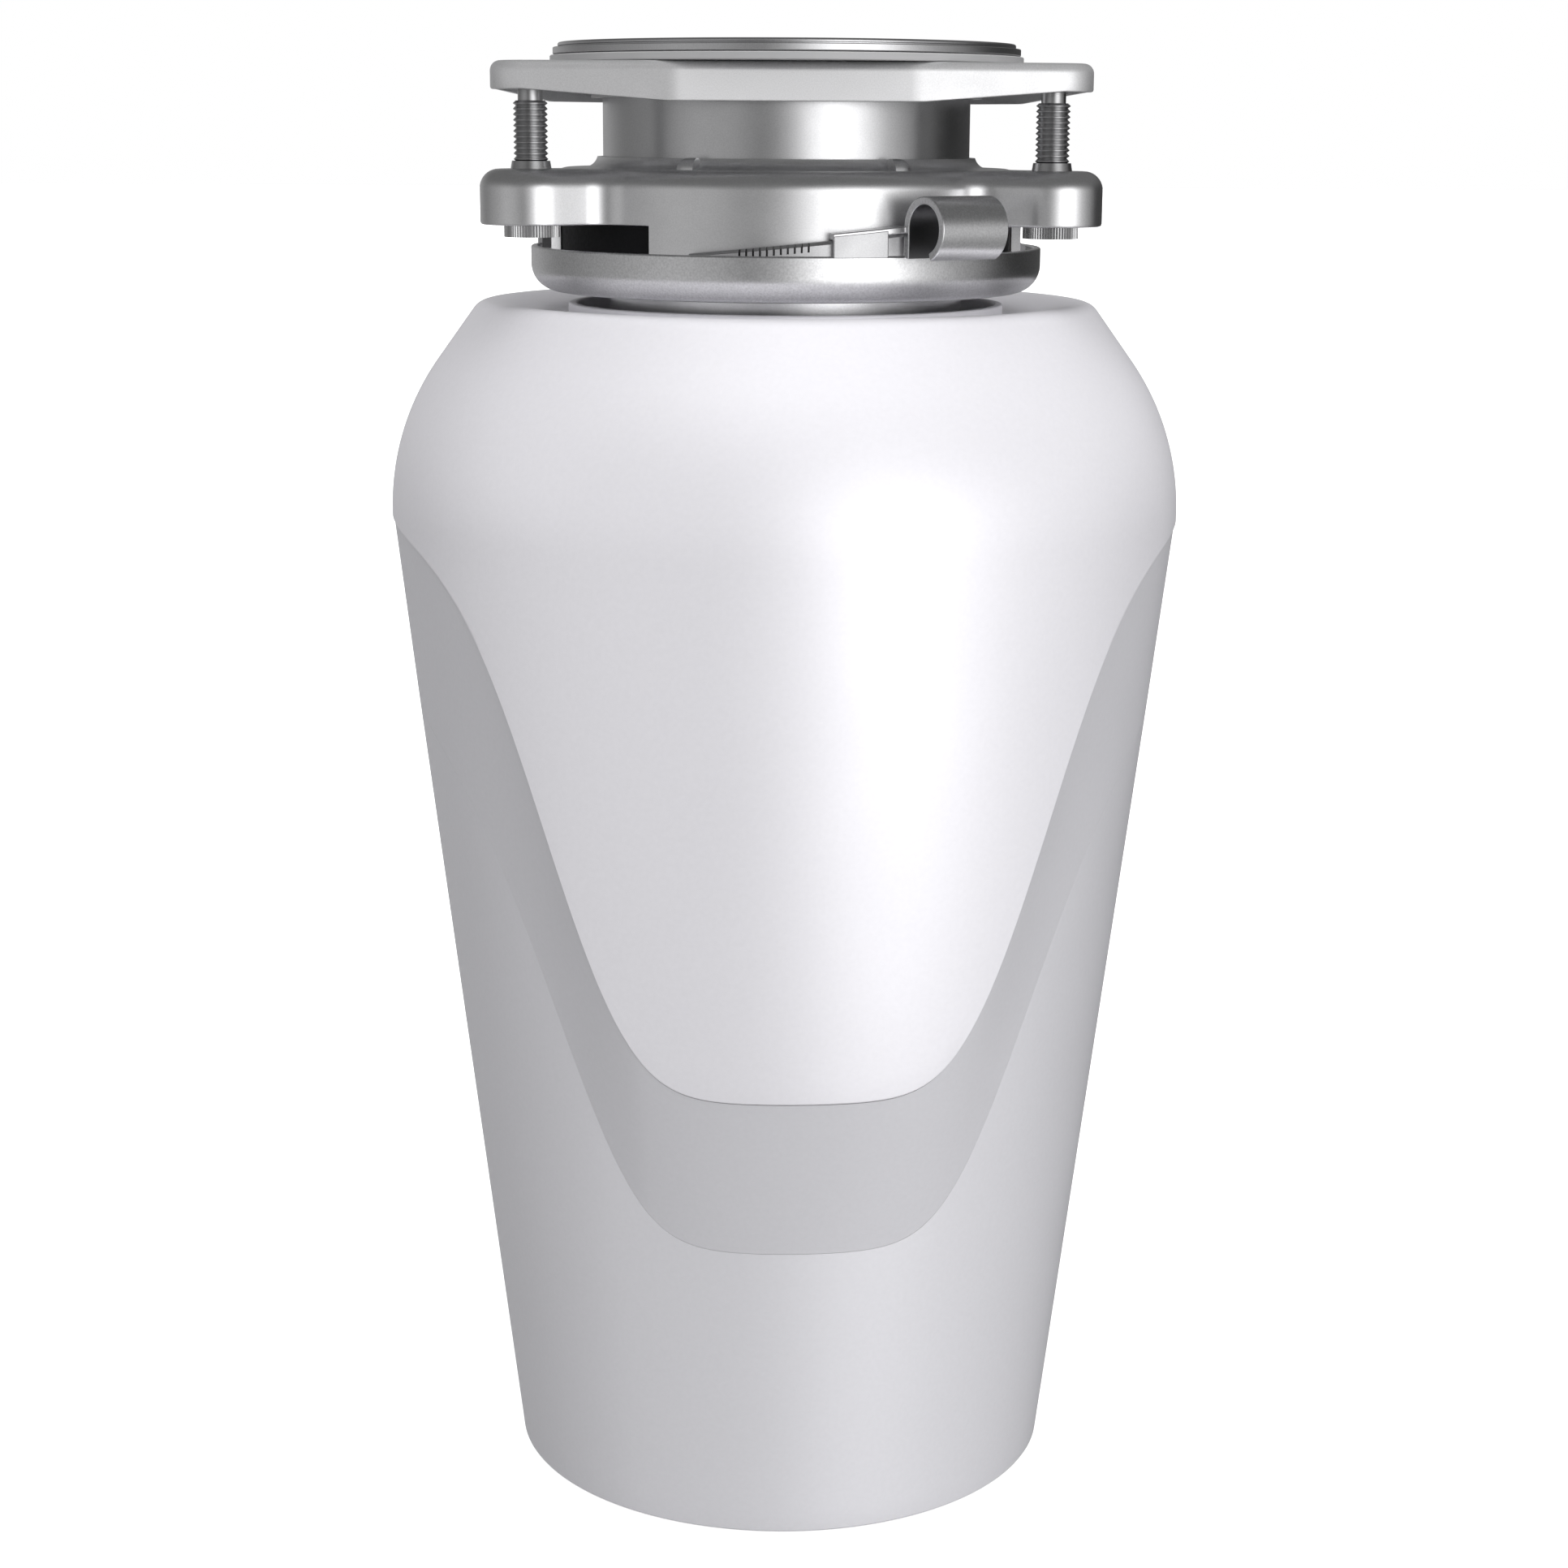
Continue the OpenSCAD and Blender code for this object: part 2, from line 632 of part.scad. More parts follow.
module outlet_clamp() {
    color("silver") difference() {
        port_plate(port_face + 5, 2.5);
        translate([0, port_face + 4, outlet_z]) rotate([-90, 0, 0]) {
            cylinder(r = elbow_r + 0.3, h = 5);
            for (s = [-1, 1]) translate([s * clamp_bolt_x, 0, 0]) cylinder(r = 2.5, h = 5);
        }
    }
}

module outlet_screws() {
    face = port_face + 7.5;
    color("gray") for (s = [-1, 1]) translate([s * clamp_bolt_x, 0, outlet_z]) rotate([-90, 0, 0])
        difference() {
        union() {
            rod(2.3, port_face - 8, face + 1);
            translate([0, 0, face]) cylinder(r = 4.6, h = 3.2, $fn = 6);
        }
        translate([-3, -0.5, face + 2]) cube([6, 1, 2]);
    }
}

module turntable() {
    color("silver") difference() {
        union() {
            rod(turntable_r, turntable_z, turntable_z + 3);
            rod(13, turntable_z - 7, turntable_z + 1);
        }
        rod(shaft_r, turntable_z - 8, turntable_z + 4);
        round_about(8, 22.5) translate([26, 0, turntable_z - 1]) cylinder(r = 2.6, h = 5);
        round_about(8, 0) translate([turntable_r, 0, turntable_z - 1]) cylinder(r = 2.2, h = 5);
        for (s = [-1, 1]) translate([s * impeller_r, 0, turntable_z - 1]) cylinder(r = 4, h = 5);
    }
}

module impeller_rivets() {
    color("gray") for (s = [-1, 1]) translate([s * impeller_r, 0, 0]) {
        rod(6, turntable_z - 1.6, turntable_z);
        rod(4, turntable_z - 0.5, turntable_z + 8);
        rod(6.2, turntable_z + 7.2, turntable_z + 9.4);
    }
}

module impeller() {
    low = turntable_z + 3.1;
    reach = 18.3;
    color("silver") difference() {
        intersection() {
            union() {
                translate([-reach, -7, low]) cube([2 * reach, 14, 4]);
                translate([9.5, -8, low]) cube([12, 16, 13]);
            }
            rod(reach, low - 1, low + 20);
        }
        rod(4.06, low - 1, low + 5);
        translate([9, -20, low + 13]) rotate([0, 24, 0]) cube([14, 40, 8]);
    }
}

module impeller_a() {
    translate([impeller_r, 0, 0]) impeller();
}

module impeller_b() {
    rotate([0, 0, 180]) impeller_a();
}

module turntable_nut() {
    color("gray") difference() {
        union() {
            rod(15, turntable_z + 3, turntable_z + 4.6);
            translate([0, 0, turntable_z + 4.5]) cylinder(r = 12, h = 7, $fn = 6);
        }
        rod(shaft_r, turntable_z + 2, turntable_z + 20);
    }
}

module water_slinger() {
    color("black") difference() {
        union() {
            rod(10, seal_z + 10.5, seal_z + 17);
            rotate_extrude() polygon([[9, seal_z + 10.5], [19, seal_z + 8.6], [19, seal_z + 10.1],
            [9, seal_z + 13]]);
        }
        rod(shaft_r, seal_z, seal_z + 20);
    }
}

// ---------- Motor ----------

module motor_shaft() {
    low = 20;
    top = turntable_z + 14;
    color("lightgray") difference() {
        rotate_extrude() polygon([
            [0, low], [shaft_r - 1, low], [shaft_r, low + 1], [shaft_r, top - 1.2],
            [shaft_r - 1.2, top], [0, top]
        ]);
        translate([0, 0, low - 1]) cylinder(r = 4, h = 8, $fn = 6);
    }
}

module rotor_core() {
    top = stack_z + stack_h;
    core_r = 32;
    color("gray") difference() {
        union() {
            rod(core_r, stack_z, top);
            tube(core_r - 1, 22, stack_z - 5, stack_z + 1);
            tube(core_r - 1, 22, top - 1, top + 5);
            round_about(12) translate([24, -1, top + 4]) cube([6, 2, 8]);
        }
        rod(shaft_r, stack_z - 6, top + 6);
        for (k = [0:27]) rotate([0, 0, k * 360 / 28]) translate([core_r - 0.8, -0.6, stack_z - 1])
            cube([2, 1.2, stack_h + 2]);
    }
}

module bearing(z) {
    balls = 8;
    pitch_r = 12.5;
    color("lightgray") {
        tube(bearing_r, 14.6, z, z + bearing_h);
        tube(10.4, shaft_r + 0.05, z, z + bearing_h);
        tube(14.4, 10.6, z + 1, z + 1.6);
        tube(14.4, 10.6, z + bearing_h - 1.6, z + bearing_h - 1);
        round_about(balls) translate([pitch_r, 0, z + bearing_h / 2]) sphere(r = 2, $fn = 24);
    }
}

module upper_bearing() {
    bearing(upper_bearing_z);
}

module lower_bearing() {
    bearing(lower_bearing_z);
}

module shaft_seal() {
    color("black") rotate_extrude() polygon([
        [shaft_r + 0.4, seal_z + 2.2], [shaft_r + 0.05, seal_z + 2.8], [shaft_r + 0.4, seal_z + 3.4],
        [9.5, seal_z + 6.8], [12, seal_z + 6.8], [12, seal_z], [9.5, seal_z]
    ]);
}

module motor_can() {
    color("lightgray") difference() {
        tube(can_r, can_r - 1.2, bell_top, floor_low);
        for (z = [bell_top + 9, floor_low - 14]) round_about(8, 22.5) translate([can_r - 3, -6, z])
            cube([6, 12, 5]);
    }
}

module stator_core() {
    bore = 32.5;
    color("dimgray") difference() {
        tube(can_r - 1.25, bore, stack_z, stack_z + stack_h);
        for (k = [0:23]) rotate([0, 0, 15 * k]) {
            translate([bore - 1, -1, stack_z - 1]) cube([5, 2, stack_h + 2]);
            translate([bore + 3, -2.4, stack_z - 1]) cube([14, 4.8, stack_h + 2]);
        }
        round_about(4, 45) translate([bolt_r, 0, stack_z - 1]) cylinder(r = 2.4, h = stack_h + 2);
    }
}

module stator_windings() {
    low = stack_z - 12;
    top = stack_z + stack_h + 12;
    color("chocolate") {
        for (z = [low, top - 11.8]) rotate_extrude() polygon(concat(
            arc([40.5, z + 3.5], 3.5, 180, 270, 4), arc([46.5, z + 3.5], 3.5, 270, 360, 4),
            arc([46.5, z + 8.3], 3.5, 0, 90, 4), arc([40.5, z + 8.3], 3.5, 90, 180, 4)
        ));
        for (k = [0:23]) rotate([0, 0, 15 * k]) translate([38, -2, low + 9])
            cube([10, 4, top - low - 18]);
    }
}

module lower_end_bell() {
    color("silver") difference() {
        union() {
            tube(62, 52, bell_low, bell_top);
            tube(can_r - 1.3, can_r - 3, bell_top - 1, bell_top + 4);
            rod(22, bell_low, lower_bearing_z + bearing_h + 1);
            round_about(6) translate([18, -4, bell_low]) cube([37, 8, bell_top - bell_low]);
        }
        rod(bearing_r, lower_bearing_z, lower_bearing_z + 20);
        rod(shaft_r + 1.5, bell_low - 1, lower_bearing_z + 1);
        round_about(4, 45) translate([bolt_r, 0, bell_low - 1]) cylinder(r = 2.1, h = 20);
        round_about(3, 30) translate([cover_bolt_r, 0, bell_low - 1]) cylinder(r = 2.05, h = 7);
        rotate([0, 0, 70]) translate([57, 0, bell_low - 1]) cylinder(r = 1.9, h = 6);
    }
}

module through_bolts() {
    color("gray") round_about(4, 45) translate([bolt_r, 0, 0]) {
        rod(2, bell_low - 1, floor_low + 2.5);
        translate([0, 0, bell_low - 3]) cylinder(r = 4, h = 3, $fn = 6);
    }
}

module motor_leads() {
    color("firebrick") for (k = [0:2]) rotate([0, 0, 12 + 8 * k]) translate([45, 0, 0])
        rod(1.3, 13, stack_z - 12.3);
}

module start_relay() {
    color("black") translate([12, -18, cover_top + 0.3]) {
        cube([28, 32, 12]);
        for (k = [0:3]) translate([4, 4 + 7 * k, 11]) cube([8, 0.8, 4.5]);
    }
}

module terminal_block() {
    color("ivory") translate([-38, 8, cover_top + 0.3]) difference() {
        cube([22, 27, 10]);
        for (k = [0:2]) translate([11, 5 + 8.5 * k, 4]) cylinder(r = 2.6, h = 8);
    }
}

module ground_screw() {
    color("green") rotate([0, 0, 70]) translate([57, 0, 0]) {
        rod(1.85, bell_low - 1, bell_low + 4.5);
        translate([0, 0, bell_low - 2.6]) cylinder(r = 3.6, h = 2.6, $fn = 6);
    }
}

module overload_protector() {
    color("black") difference() {
        translate([reset_at.x - 12, reset_at.y - 9, cover_top + 0.3]) cube([24, 18, 13.2]);
        translate([reset_at.x, reset_at.y, cover_top - 1]) cylinder(r = 4.4, h = 11.5);
    }
}

module reset_button() {
    color("red") translate([reset_at.x, reset_at.y, 0]) rotate_extrude() polygon([
        [0, 2.4], [3.2, 2.4], [3.9, 3.1], [3.9, 11], [0, 11]
    ]);
}

module reset_spring() {
    color("silver") translate([reset_at.x, reset_at.y, 0]) coil(2.8, 0.35, 11.05, 17.3, 5);
}

module cord_gland() {
    color("black") translate([0, 0, gland_z]) rotate([-90, 0, 0]) {
        tube(6, 4.2, 59, 72);
        tube(8.5, 4.2, 71.5, 74.6);
    }
}

module gland_nut() {
    color("gray") translate([0, 62, gland_z]) rotate([-90, 0, 0]) difference() {
        cylinder(r = 8.2, h = 3.8, $fn = 6);
        translate([0, 0, -1]) cylinder(r = 6.05, h = 6);
    }
}

sink_flange();
fibre_gasket();
snap_ring();
mounting_ring();
threaded_inserts();
backup_plate();
mounting_screw(0);  // mounting_screw_1
mounting_screw(1);  // mounting_screw_2
mounting_screw(2);  // mounting_screw_3
screw_tip(0);  // screw_tip_1
screw_tip(1);  // screw_tip_2
screw_tip(2);  // screw_tip_3
swivel_ring();
mounting_gasket();
splash_baffle();
upper_shell();
accent_band();
lower_shell();
bottom_cover();
cover_screws();
sound_liner();
hopper();
hopper_gasket();
hopper_bolts();
dishwasher_plug();
grind_ring();
drain_chamber();
outlet_gasket();
outlet_elbow();
outlet_clamp();
outlet_screws();
turntable();
impeller_rivets();
turntable_nut();
water_slinger();
impeller_a();
impeller_b();
motor_shaft();
rotor_core();
upper_bearing();
lower_bearing();
shaft_seal();
motor_can();
stator_core();
stator_windings();
lower_end_bell();
through_bolts();
motor_leads();
start_relay();
terminal_block();
ground_screw();
overload_protector();
reset_button();
reset_spring();
cord_gland();
gland_nut();
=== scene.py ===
"""Kitchen food waste disposer: finishes, fine shapes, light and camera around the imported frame.

Lengths in the shape functions are millimetres, like the frame's source; MM turns them into metres.
"""

import json
import math

import bpy
from mathutils import Matrix, Vector


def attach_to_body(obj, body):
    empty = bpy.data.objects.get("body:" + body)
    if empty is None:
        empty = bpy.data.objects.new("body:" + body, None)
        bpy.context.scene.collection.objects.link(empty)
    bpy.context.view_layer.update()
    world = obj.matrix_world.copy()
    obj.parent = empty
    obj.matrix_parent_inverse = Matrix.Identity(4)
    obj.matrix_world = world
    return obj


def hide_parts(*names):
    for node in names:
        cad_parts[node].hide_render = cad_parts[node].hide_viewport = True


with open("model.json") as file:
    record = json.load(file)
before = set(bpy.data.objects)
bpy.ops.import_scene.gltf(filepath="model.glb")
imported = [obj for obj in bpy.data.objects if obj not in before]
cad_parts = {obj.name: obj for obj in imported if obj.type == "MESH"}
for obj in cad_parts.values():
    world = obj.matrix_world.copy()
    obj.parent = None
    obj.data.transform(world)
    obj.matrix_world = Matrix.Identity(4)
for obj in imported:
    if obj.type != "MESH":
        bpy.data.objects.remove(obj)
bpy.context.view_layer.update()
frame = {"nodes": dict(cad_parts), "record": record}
NODES = frame["nodes"]
MM = 0.001

# ---------- Sizes shared with the frame, in millimetres ----------

BASE_R = 68.3
WAIST_R = 97.0
WAIST_Z = 245.0
CREST_Z = 295.6
CREST_FILLET = 4.5
SHOULDER_ARC = 62.0
SHOULDER_END = 36.0
DISH_DEPTH = 3.2
OPENING_R = 51.1
COLLAR_R = 53.2
WALL = 2.5
SEAM = 0.08
FOOT_Z = 0.4
APRON_Z, APRON_R = 118.5, 90.0
APRON_HALF, APRON_POWER = 37.8, 5.5
BAND_Z, BAND_SIDE_Z = 77.0, 202.0
BAND_HALF, BAND_POWER = 43.6, 5.3
BAND_REVEAL = 0.4
OUTLET_Z, OUTLET_HOLE_R = 162.0, 36.0
INLET_Z, INLET_HOLE_R, INLET_AT = 224.0, 13.0, 127.5
GLAND_Z, GLAND_HOLE_R = 16.0, 6.3
AROUND = 360


# ---------- Camera ----------

CAMERA_AWAY = 0.7077
CAMERA_Z = 0.3377
CAMERA_LENS = 65.3
CAMERA_PITCH = 13.07
CAMERA_TURN = -2.4
CAMERA_SWING = 0.02
CAMERA_ROLL = 0.3


def make_camera():
    """The photograph's view: from the front, a little to the left and above, with a slight roll."""
    cam = bpy.data.objects.new("Camera", bpy.data.cameras.new("Camera"))
    bpy.context.collection.objects.link(cam)
    cam.data.lens = CAMERA_LENS
    cam.data.sensor_width = 36
    cam.data.clip_end = 50
    turn = math.radians(CAMERA_TURN)
    place = Vector((CAMERA_AWAY * math.sin(turn), -CAMERA_AWAY * math.cos(turn), CAMERA_Z))
    cam.matrix_world = (
        Matrix.Translation(place)
        @ Matrix.Rotation(turn - math.radians(CAMERA_SWING), 4, "Z")
        @ Matrix.Rotation(math.radians(90 - CAMERA_PITCH), 4, "X")
        @ Matrix.Rotation(math.radians(CAMERA_ROLL), 4, "Z")
    )
    bpy.context.scene.camera = cam


make_camera()


# ---------- Meshes ----------

def mesh_object(name, points, faces, material, sharp=35):
    """A smooth-shaded mesh, sharp where faces meet at more than the given angle."""
    mesh = bpy.data.meshes.new(name)
    mesh.from_pydata([(x * MM, y * MM, z * MM) for x, y, z in points], [], faces)
    mesh.validate()
    mesh.polygons.foreach_set("use_smooth", [True] * len(mesh.polygons))
    mesh.set_sharp_from_angle(angle=math.radians(sharp))
    mesh.materials.append(material)
    obj = bpy.data.objects.new(name, mesh)
    bpy.context.collection.objects.link(obj)
    return obj


def loft(name, rings, material, closed=True, sharp=35):
    """Joins closed rings of points one after the other, and the last to the first."""
    n, m = len(rings[0]), len(rings)
    points = [p for ring in rings for p in ring]
    faces = []
    for j in range(m if closed else m - 1):
        k = (j + 1) % m
        for i in range(n):
            h = (i + 1) % n
            faces.append((j * n + i, j * n + h, k * n + h, k * n + i))
    return mesh_object(name, points, faces, material, sharp)


def cut_cylinder(obj, start, end, radius):
    """Cuts a round hole along the line from start to end, in millimetres."""
    a, b = Vector(start) * MM, Vector(end) * MM
    bpy.ops.mesh.primitive_cylinder_add(vertices=96, radius=radius * MM, depth=(b - a).length)
    tool = bpy.context.object
    tool.matrix_world = Matrix.Translation((a + b) / 2) @ (b - a).to_track_quat("Z", "Y").to_matrix().to_4x4()
    cut = obj.modifiers.new("hole", "BOOLEAN")
    cut.operation, cut.solver, cut.object = "DIFFERENCE", "EXACT", tool
    bpy.context.view_layer.update()
    done = bpy.data.meshes.new_from_object(obj.evaluated_get(bpy.context.evaluated_depsgraph_get()))
    obj.modifiers.clear()
    obj.data = done
    bpy.data.objects.remove(tool)


def arc(cx, cy, r, start, end, n):
    """Points on an arc, in degrees."""
    steps = [math.radians(start + (end - start) * i / n) for i in range(n + 1)]
    return [(cx + r * math.cos(a), cy + r * math.sin(a)) for a in steps]


def mix(a, b, t):
    return a + (b - a) * t


def polar(r, a, z):
    return (r * math.cos(a), r * math.sin(a), z)


# ---------- Finishes ----------

def new_material(name, base, roughness, metallic=0.0, **sockets):
    """A material, as (material, node tree, shader)."""
    mat = bpy.data.materials.new(name)
    mat.use_nodes = True
    tree = mat.node_tree
    shader = tree.nodes["Principled BSDF"]
    shader.inputs["Base Color"].default_value = (*base, 1)
    shader.inputs["Roughness"].default_value = roughness
    shader.inputs["Metallic"].default_value = metallic
    for key, value in sockets.items():
        shader.inputs[key.replace("_", " ")].default_value = value
    return mat, tree, shader


def coordinates(tree, stretch=(1, 1, 1)):
    """Object coordinates, stretched along an axis for brushed or rolled surfaces."""
    where = tree.nodes.new("ShaderNodeTexCoord")
    scale = tree.nodes.new("ShaderNodeMapping")
    scale.inputs["Scale"].default_value = stretch
    tree.links.new(where.outputs["Object"], scale.inputs["Vector"])
    return scale.outputs["Vector"]


def noise(tree, vector, scale, detail=2.0):
    texture = tree.nodes.new("ShaderNodeTexNoise")
    texture.inputs["Scale"].default_value = scale
    texture.inputs["Detail"].default_value = detail
    tree.links.new(vector, texture.inputs["Vector"])
    return texture.outputs["Fac"]


def between(tree, factor, low, high):
    """Maps a texture's middle range to low..high."""
    remap = tree.nodes.new("ShaderNodeMapRange")
    for socket, value in zip(("From Min", "From Max", "To Min", "To Max"), (0.3, 0.7, low, high)):
        remap.inputs[socket].default_value = value
    tree.links.new(factor, remap.inputs["Value"])
    return remap.outputs["Result"]


def tint(tree, factor, dark, light, shader):
    """Base colour that drifts between two colours with a texture."""
    blend = tree.nodes.new("ShaderNodeMix")
    blend.data_type = "RGBA"
    blend.inputs["A"].default_value = (*dark, 1)
    blend.inputs["B"].default_value = (*light, 1)
    tree.links.new(between(tree, factor, 0, 1), blend.inputs["Factor"])
    tree.links.new(blend.outputs["Result"], shader.inputs["Base Color"])


def grain(tree, factors, distance, strength, shader):
    """Bump from one or more textures added together."""
    total = factors[0]
    for factor in factors[1:]:
        add = tree.nodes.new("ShaderNodeMath")
        tree.links.new(total, add.inputs[0])
        tree.links.new(factor, add.inputs[1])
        total = add.outputs["Value"]
    bump = tree.nodes.new("ShaderNodeBump")
    bump.inputs["Distance"].default_value = distance
    bump.inputs["Strength"].default_value = strength
    tree.links.new(total, bump.inputs["Height"])
    tree.links.new(bump.outputs["Normal"], shader.inputs["Normal"])


def shades(base, spread):
    return [tuple(max(0.0, min(1.0, c * k)) for c in base) for k in (1 - spread, 1 + spread)]


def painted(name, base, roughness, spread=0.012, pearl=0.36):
    """Pearl lacquer: a fine sparkle in a soft, broad sheen."""
    mat, tree, shader = new_material(name, base, roughness, pearl, Coat_Weight=0.08, Coat_Roughness=0.3)
    where = coordinates(tree)
    tint(tree, noise(tree, where, 900, 3), *shades(base, spread), shader)
    worn = between(tree, noise(tree, where, 40, 4), roughness - 0.02, roughness + 0.02)
    tree.links.new(worn, shader.inputs["Roughness"])
    grain(tree, [noise(tree, where, 2600, 2)], 0.00001, 0.2, shader)
    return mat


def metal(
    name, base, roughness, blast=3200, depth=0.00001, strength=0.3, stretch=(1, 1, 1), spread=0.06, metallic=1.0
):
    """Blasted, brushed or cast metal."""
    mat, tree, shader = new_material(name, base, roughness, metallic)
    where = coordinates(tree, stretch)
    fine = noise(tree, where, blast, 3)
    tint(tree, fine, *shades(base, spread), shader)
    worn = between(tree, noise(tree, where, blast / 20, 5), roughness - 0.02, roughness + 0.03)
    tree.links.new(worn, shader.inputs["Roughness"])
    grain(tree, [fine], depth, strength, shader)
    return mat


def moulded(name, base, roughness, texture=1200, depth=0.00003, strength=0.4, spread=0.06, **sockets):
    """Moulded plastic or rubber with a fine spark-eroded texture."""
    mat, tree, shader = new_material(name, base, roughness, **sockets)
    where = coordinates(tree)
    fine = noise(tree, where, texture, 4)
    tint(tree, noise(tree, where, 60, 4), *shades(base, spread), shader)
    tree.links.new(between(tree, fine, roughness - 0.06, roughness + 0.06), shader.inputs["Roughness"])
    grain(tree, [fine], depth, strength, shader)
    return mat


FINISHES = {
    "shell_white": painted("PearlWhite", (0.87, 0.86, 0.90), 0.42),
    "shell_grey": painted("SatinGrey", (0.76, 0.755, 0.79), 0.46),
    "shell_light": painted("SatinLightGrey", (0.76, 0.755, 0.79), 0.44),
    "satin_nickel": metal("SatinNickel", (0.68, 0.68, 0.69), 0.30),
    # The bowl's nickel, lighter than the throat's satin nickel: painted light for light bounced up from the white
    # casing; its coarser sparkle is the bowl's own finish.
    "painted_light_bowl_nickel": metal("PaintedLightBowlNickel", (0.80, 0.80, 0.81), 0.30, blast=2200, spread=0.12),
    "plate_nickel": metal("PlateNickel", (0.84, 0.84, 0.85), 0.45, metallic=0.8),
    # A darker copy of the nickel for the lock tabs and ramps: painted shade that holds down their highlight.
    "painted_shade_tab_nickel": metal("PaintedShadeTabNickel", (0.62, 0.62, 0.63), 0.42),
    # Smoother nickel for the hopper's neck: its lower roughness is real polish, its lighter colour is painted light for
    # the light in the gap under the bowl.
    "painted_light_neck_nickel": metal("PaintedLightNeckNickel", (0.85, 0.85, 0.86), 0.24),
    # A near-black copy of the nickel: painted shade for the insides of the ramp slots and of the wrench ears.
    "painted_shade_nickel": metal("PaintedShadeNickel", (0.16, 0.16, 0.165), 0.40),
    "cast_nickel": metal("CastNickel", (0.84, 0.84, 0.85), 0.33),
    "stainless": metal("Stainless", (0.50, 0.50, 0.505), 0.28, blast=900, stretch=(1, 1, 8), strength=0.2),
    "zinc_steel": metal("ZincSteel", (0.50, 0.50, 0.47), 0.36, blast=600, spread=0.14),
    "green_steel": moulded("GreenPaint", (0.03, 0.22, 0.07), 0.35),
    "rubber_black": moulded(
        "BlackRubber", (0.006, 0.006, 0.007), 0.62, strength=0.5, Specular_IOR_Level=0.15
    ),
    "fibre": moulded("FibreGasket", (0.36, 0.36, 0.365), 0.4, texture=2000),
    "black_plastic": moulded("BlackMoulding", (0.022, 0.022, 0.024), 0.46),
    "die_cast": metal("DieCast", (0.50, 0.50, 0.505), 0.42, blast=1400, strength=0.6, depth=0.00003),
    "lamination": metal(
        "Lamination", (0.12, 0.12, 0.13), 0.45, blast=400, stretch=(1, 1, 30), strength=0.8, depth=0.0001
    ),
    "copper": metal(
        "CopperWire", (0.62, 0.25, 0.09), 0.32, blast=500, stretch=(6, 6, 1), strength=0.9, depth=0.0001
    ),
    "lead_wire": moulded("LeadWire", (0.35, 0.02, 0.015), 0.4),
    "ivory": moulded("IvoryMoulding", (0.66, 0.61, 0.48), 0.4),
    "red_plastic": moulded("RedCap", (0.55, 0.015, 0.012), 0.3),
}
SLOTS = {part["node"]: part["material_slot"] for part in frame["record"]["subparts"]}


def dress_nodes():
    """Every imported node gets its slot's finish."""
    for name, obj in NODES.items():
        obj.data.materials.clear()
        obj.data.materials.append(FINISHES[SLOTS[name]])


def attach(piece, body):
    """piece moves with body; its flat and large faces set the shading."""
    piece.modifiers.new("shading", "WEIGHTED_NORMAL").keep_sharp = True
    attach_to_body(piece, body)


def stand_for(piece, node, body):
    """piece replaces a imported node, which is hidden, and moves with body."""
    attach(piece, body)
    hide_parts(node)


# ---------- Casing ----------

def fold(a):
    """Degrees from the nearer of the front and the back."""
    f = abs((math.degrees(a) + 90) % 360)
    f = 360 - f if f > 180 else f
    return 180 - f if f > 90 else f


def hill(a, half, power):
    u = (a / half) ** power
    return u / (1 + u)


def apron_edge(a):
    return mix(APRON_Z, WAIST_Z, hill(fold(a), APRON_HALF, APRON_POWER))


def band_edge(a):
    return mix(BAND_Z, BAND_SIDE_Z, hill(fold(a), BAND_HALF, BAND_POWER))


def cone_r(z):
    return mix(BASE_R, WAIST_R, z / WAIST_Z)


FACE_ARC = ((WAIST_Z - APRON_Z) ** 2 + (WAIST_R - APRON_R) ** 2) / (2 * (WAIST_R - APRON_R))


def face_r(z):
    return WAIST_R - FACE_ARC + math.sqrt(FACE_ARC**2 - (WAIST_Z - z) ** 2)


DIRECTIONS = [2 * math.pi * i / AROUND for i in range(AROUND)]


def cosine_step(p, q, n):
    return [(mix(p[0], q[0], i / n), mix(p[1], q[1], (1 - math.cos(math.pi * i / n)) / 2)) for i in range(n + 1)]


def shoulder_profile():
    """(radius, height) from the waist over the crest and the dish, down the collar and back inside."""
    cx = WAIST_R - SHOULDER_ARC
    tilt = math.radians(SHOULDER_END)
    end_r, end_z = cx + SHOULDER_ARC * math.cos(tilt), WAIST_Z + SHOULDER_ARC * math.sin(tilt)
    fillet_z = CREST_Z - CREST_FILLET
    touch_z = fillet_z + CREST_FILLET * math.sin(tilt)
    crest_r = end_r - math.tan(tilt) * (touch_z - end_z) - CREST_FILLET * math.cos(tilt)
    dish_r, dish_z = COLLAR_R + 4, CREST_Z - DISH_DEPTH
    collar_z = CREST_Z - 0.5
    return (
        arc(cx, WAIST_Z, SHOULDER_ARC, 1, SHOULDER_END, 24)
        + arc(crest_r, fillet_z, CREST_FILLET, SHOULDER_END, 90, 10)
        + cosine_step((crest_r - 1, CREST_Z), (dish_r, dish_z), 14)
        + [(COLLAR_R + 0.5, dish_z), (COLLAR_R, dish_z + 0.4)]
        + arc(COLLAR_R - 0.5, collar_z - 0.5, 0.5, 0, 90, 4)
        + arc(OPENING_R + 0.5, collar_z - 0.5, 0.5, 90, 180, 4)
        + [(OPENING_R, dish_z - 6), (COLLAR_R, dish_z - 6), (COLLAR_R, dish_z - WALL)]
        + [(dish_r, dish_z - WALL), (crest_r - 1, CREST_Z - WALL)]
        + arc(crest_r, fillet_z, CREST_FILLET - WALL, 90, SHOULDER_END, 4)
        + arc(cx, WAIST_Z, SHOULDER_ARC - WALL, SHOULDER_END, 1, 12)
    )


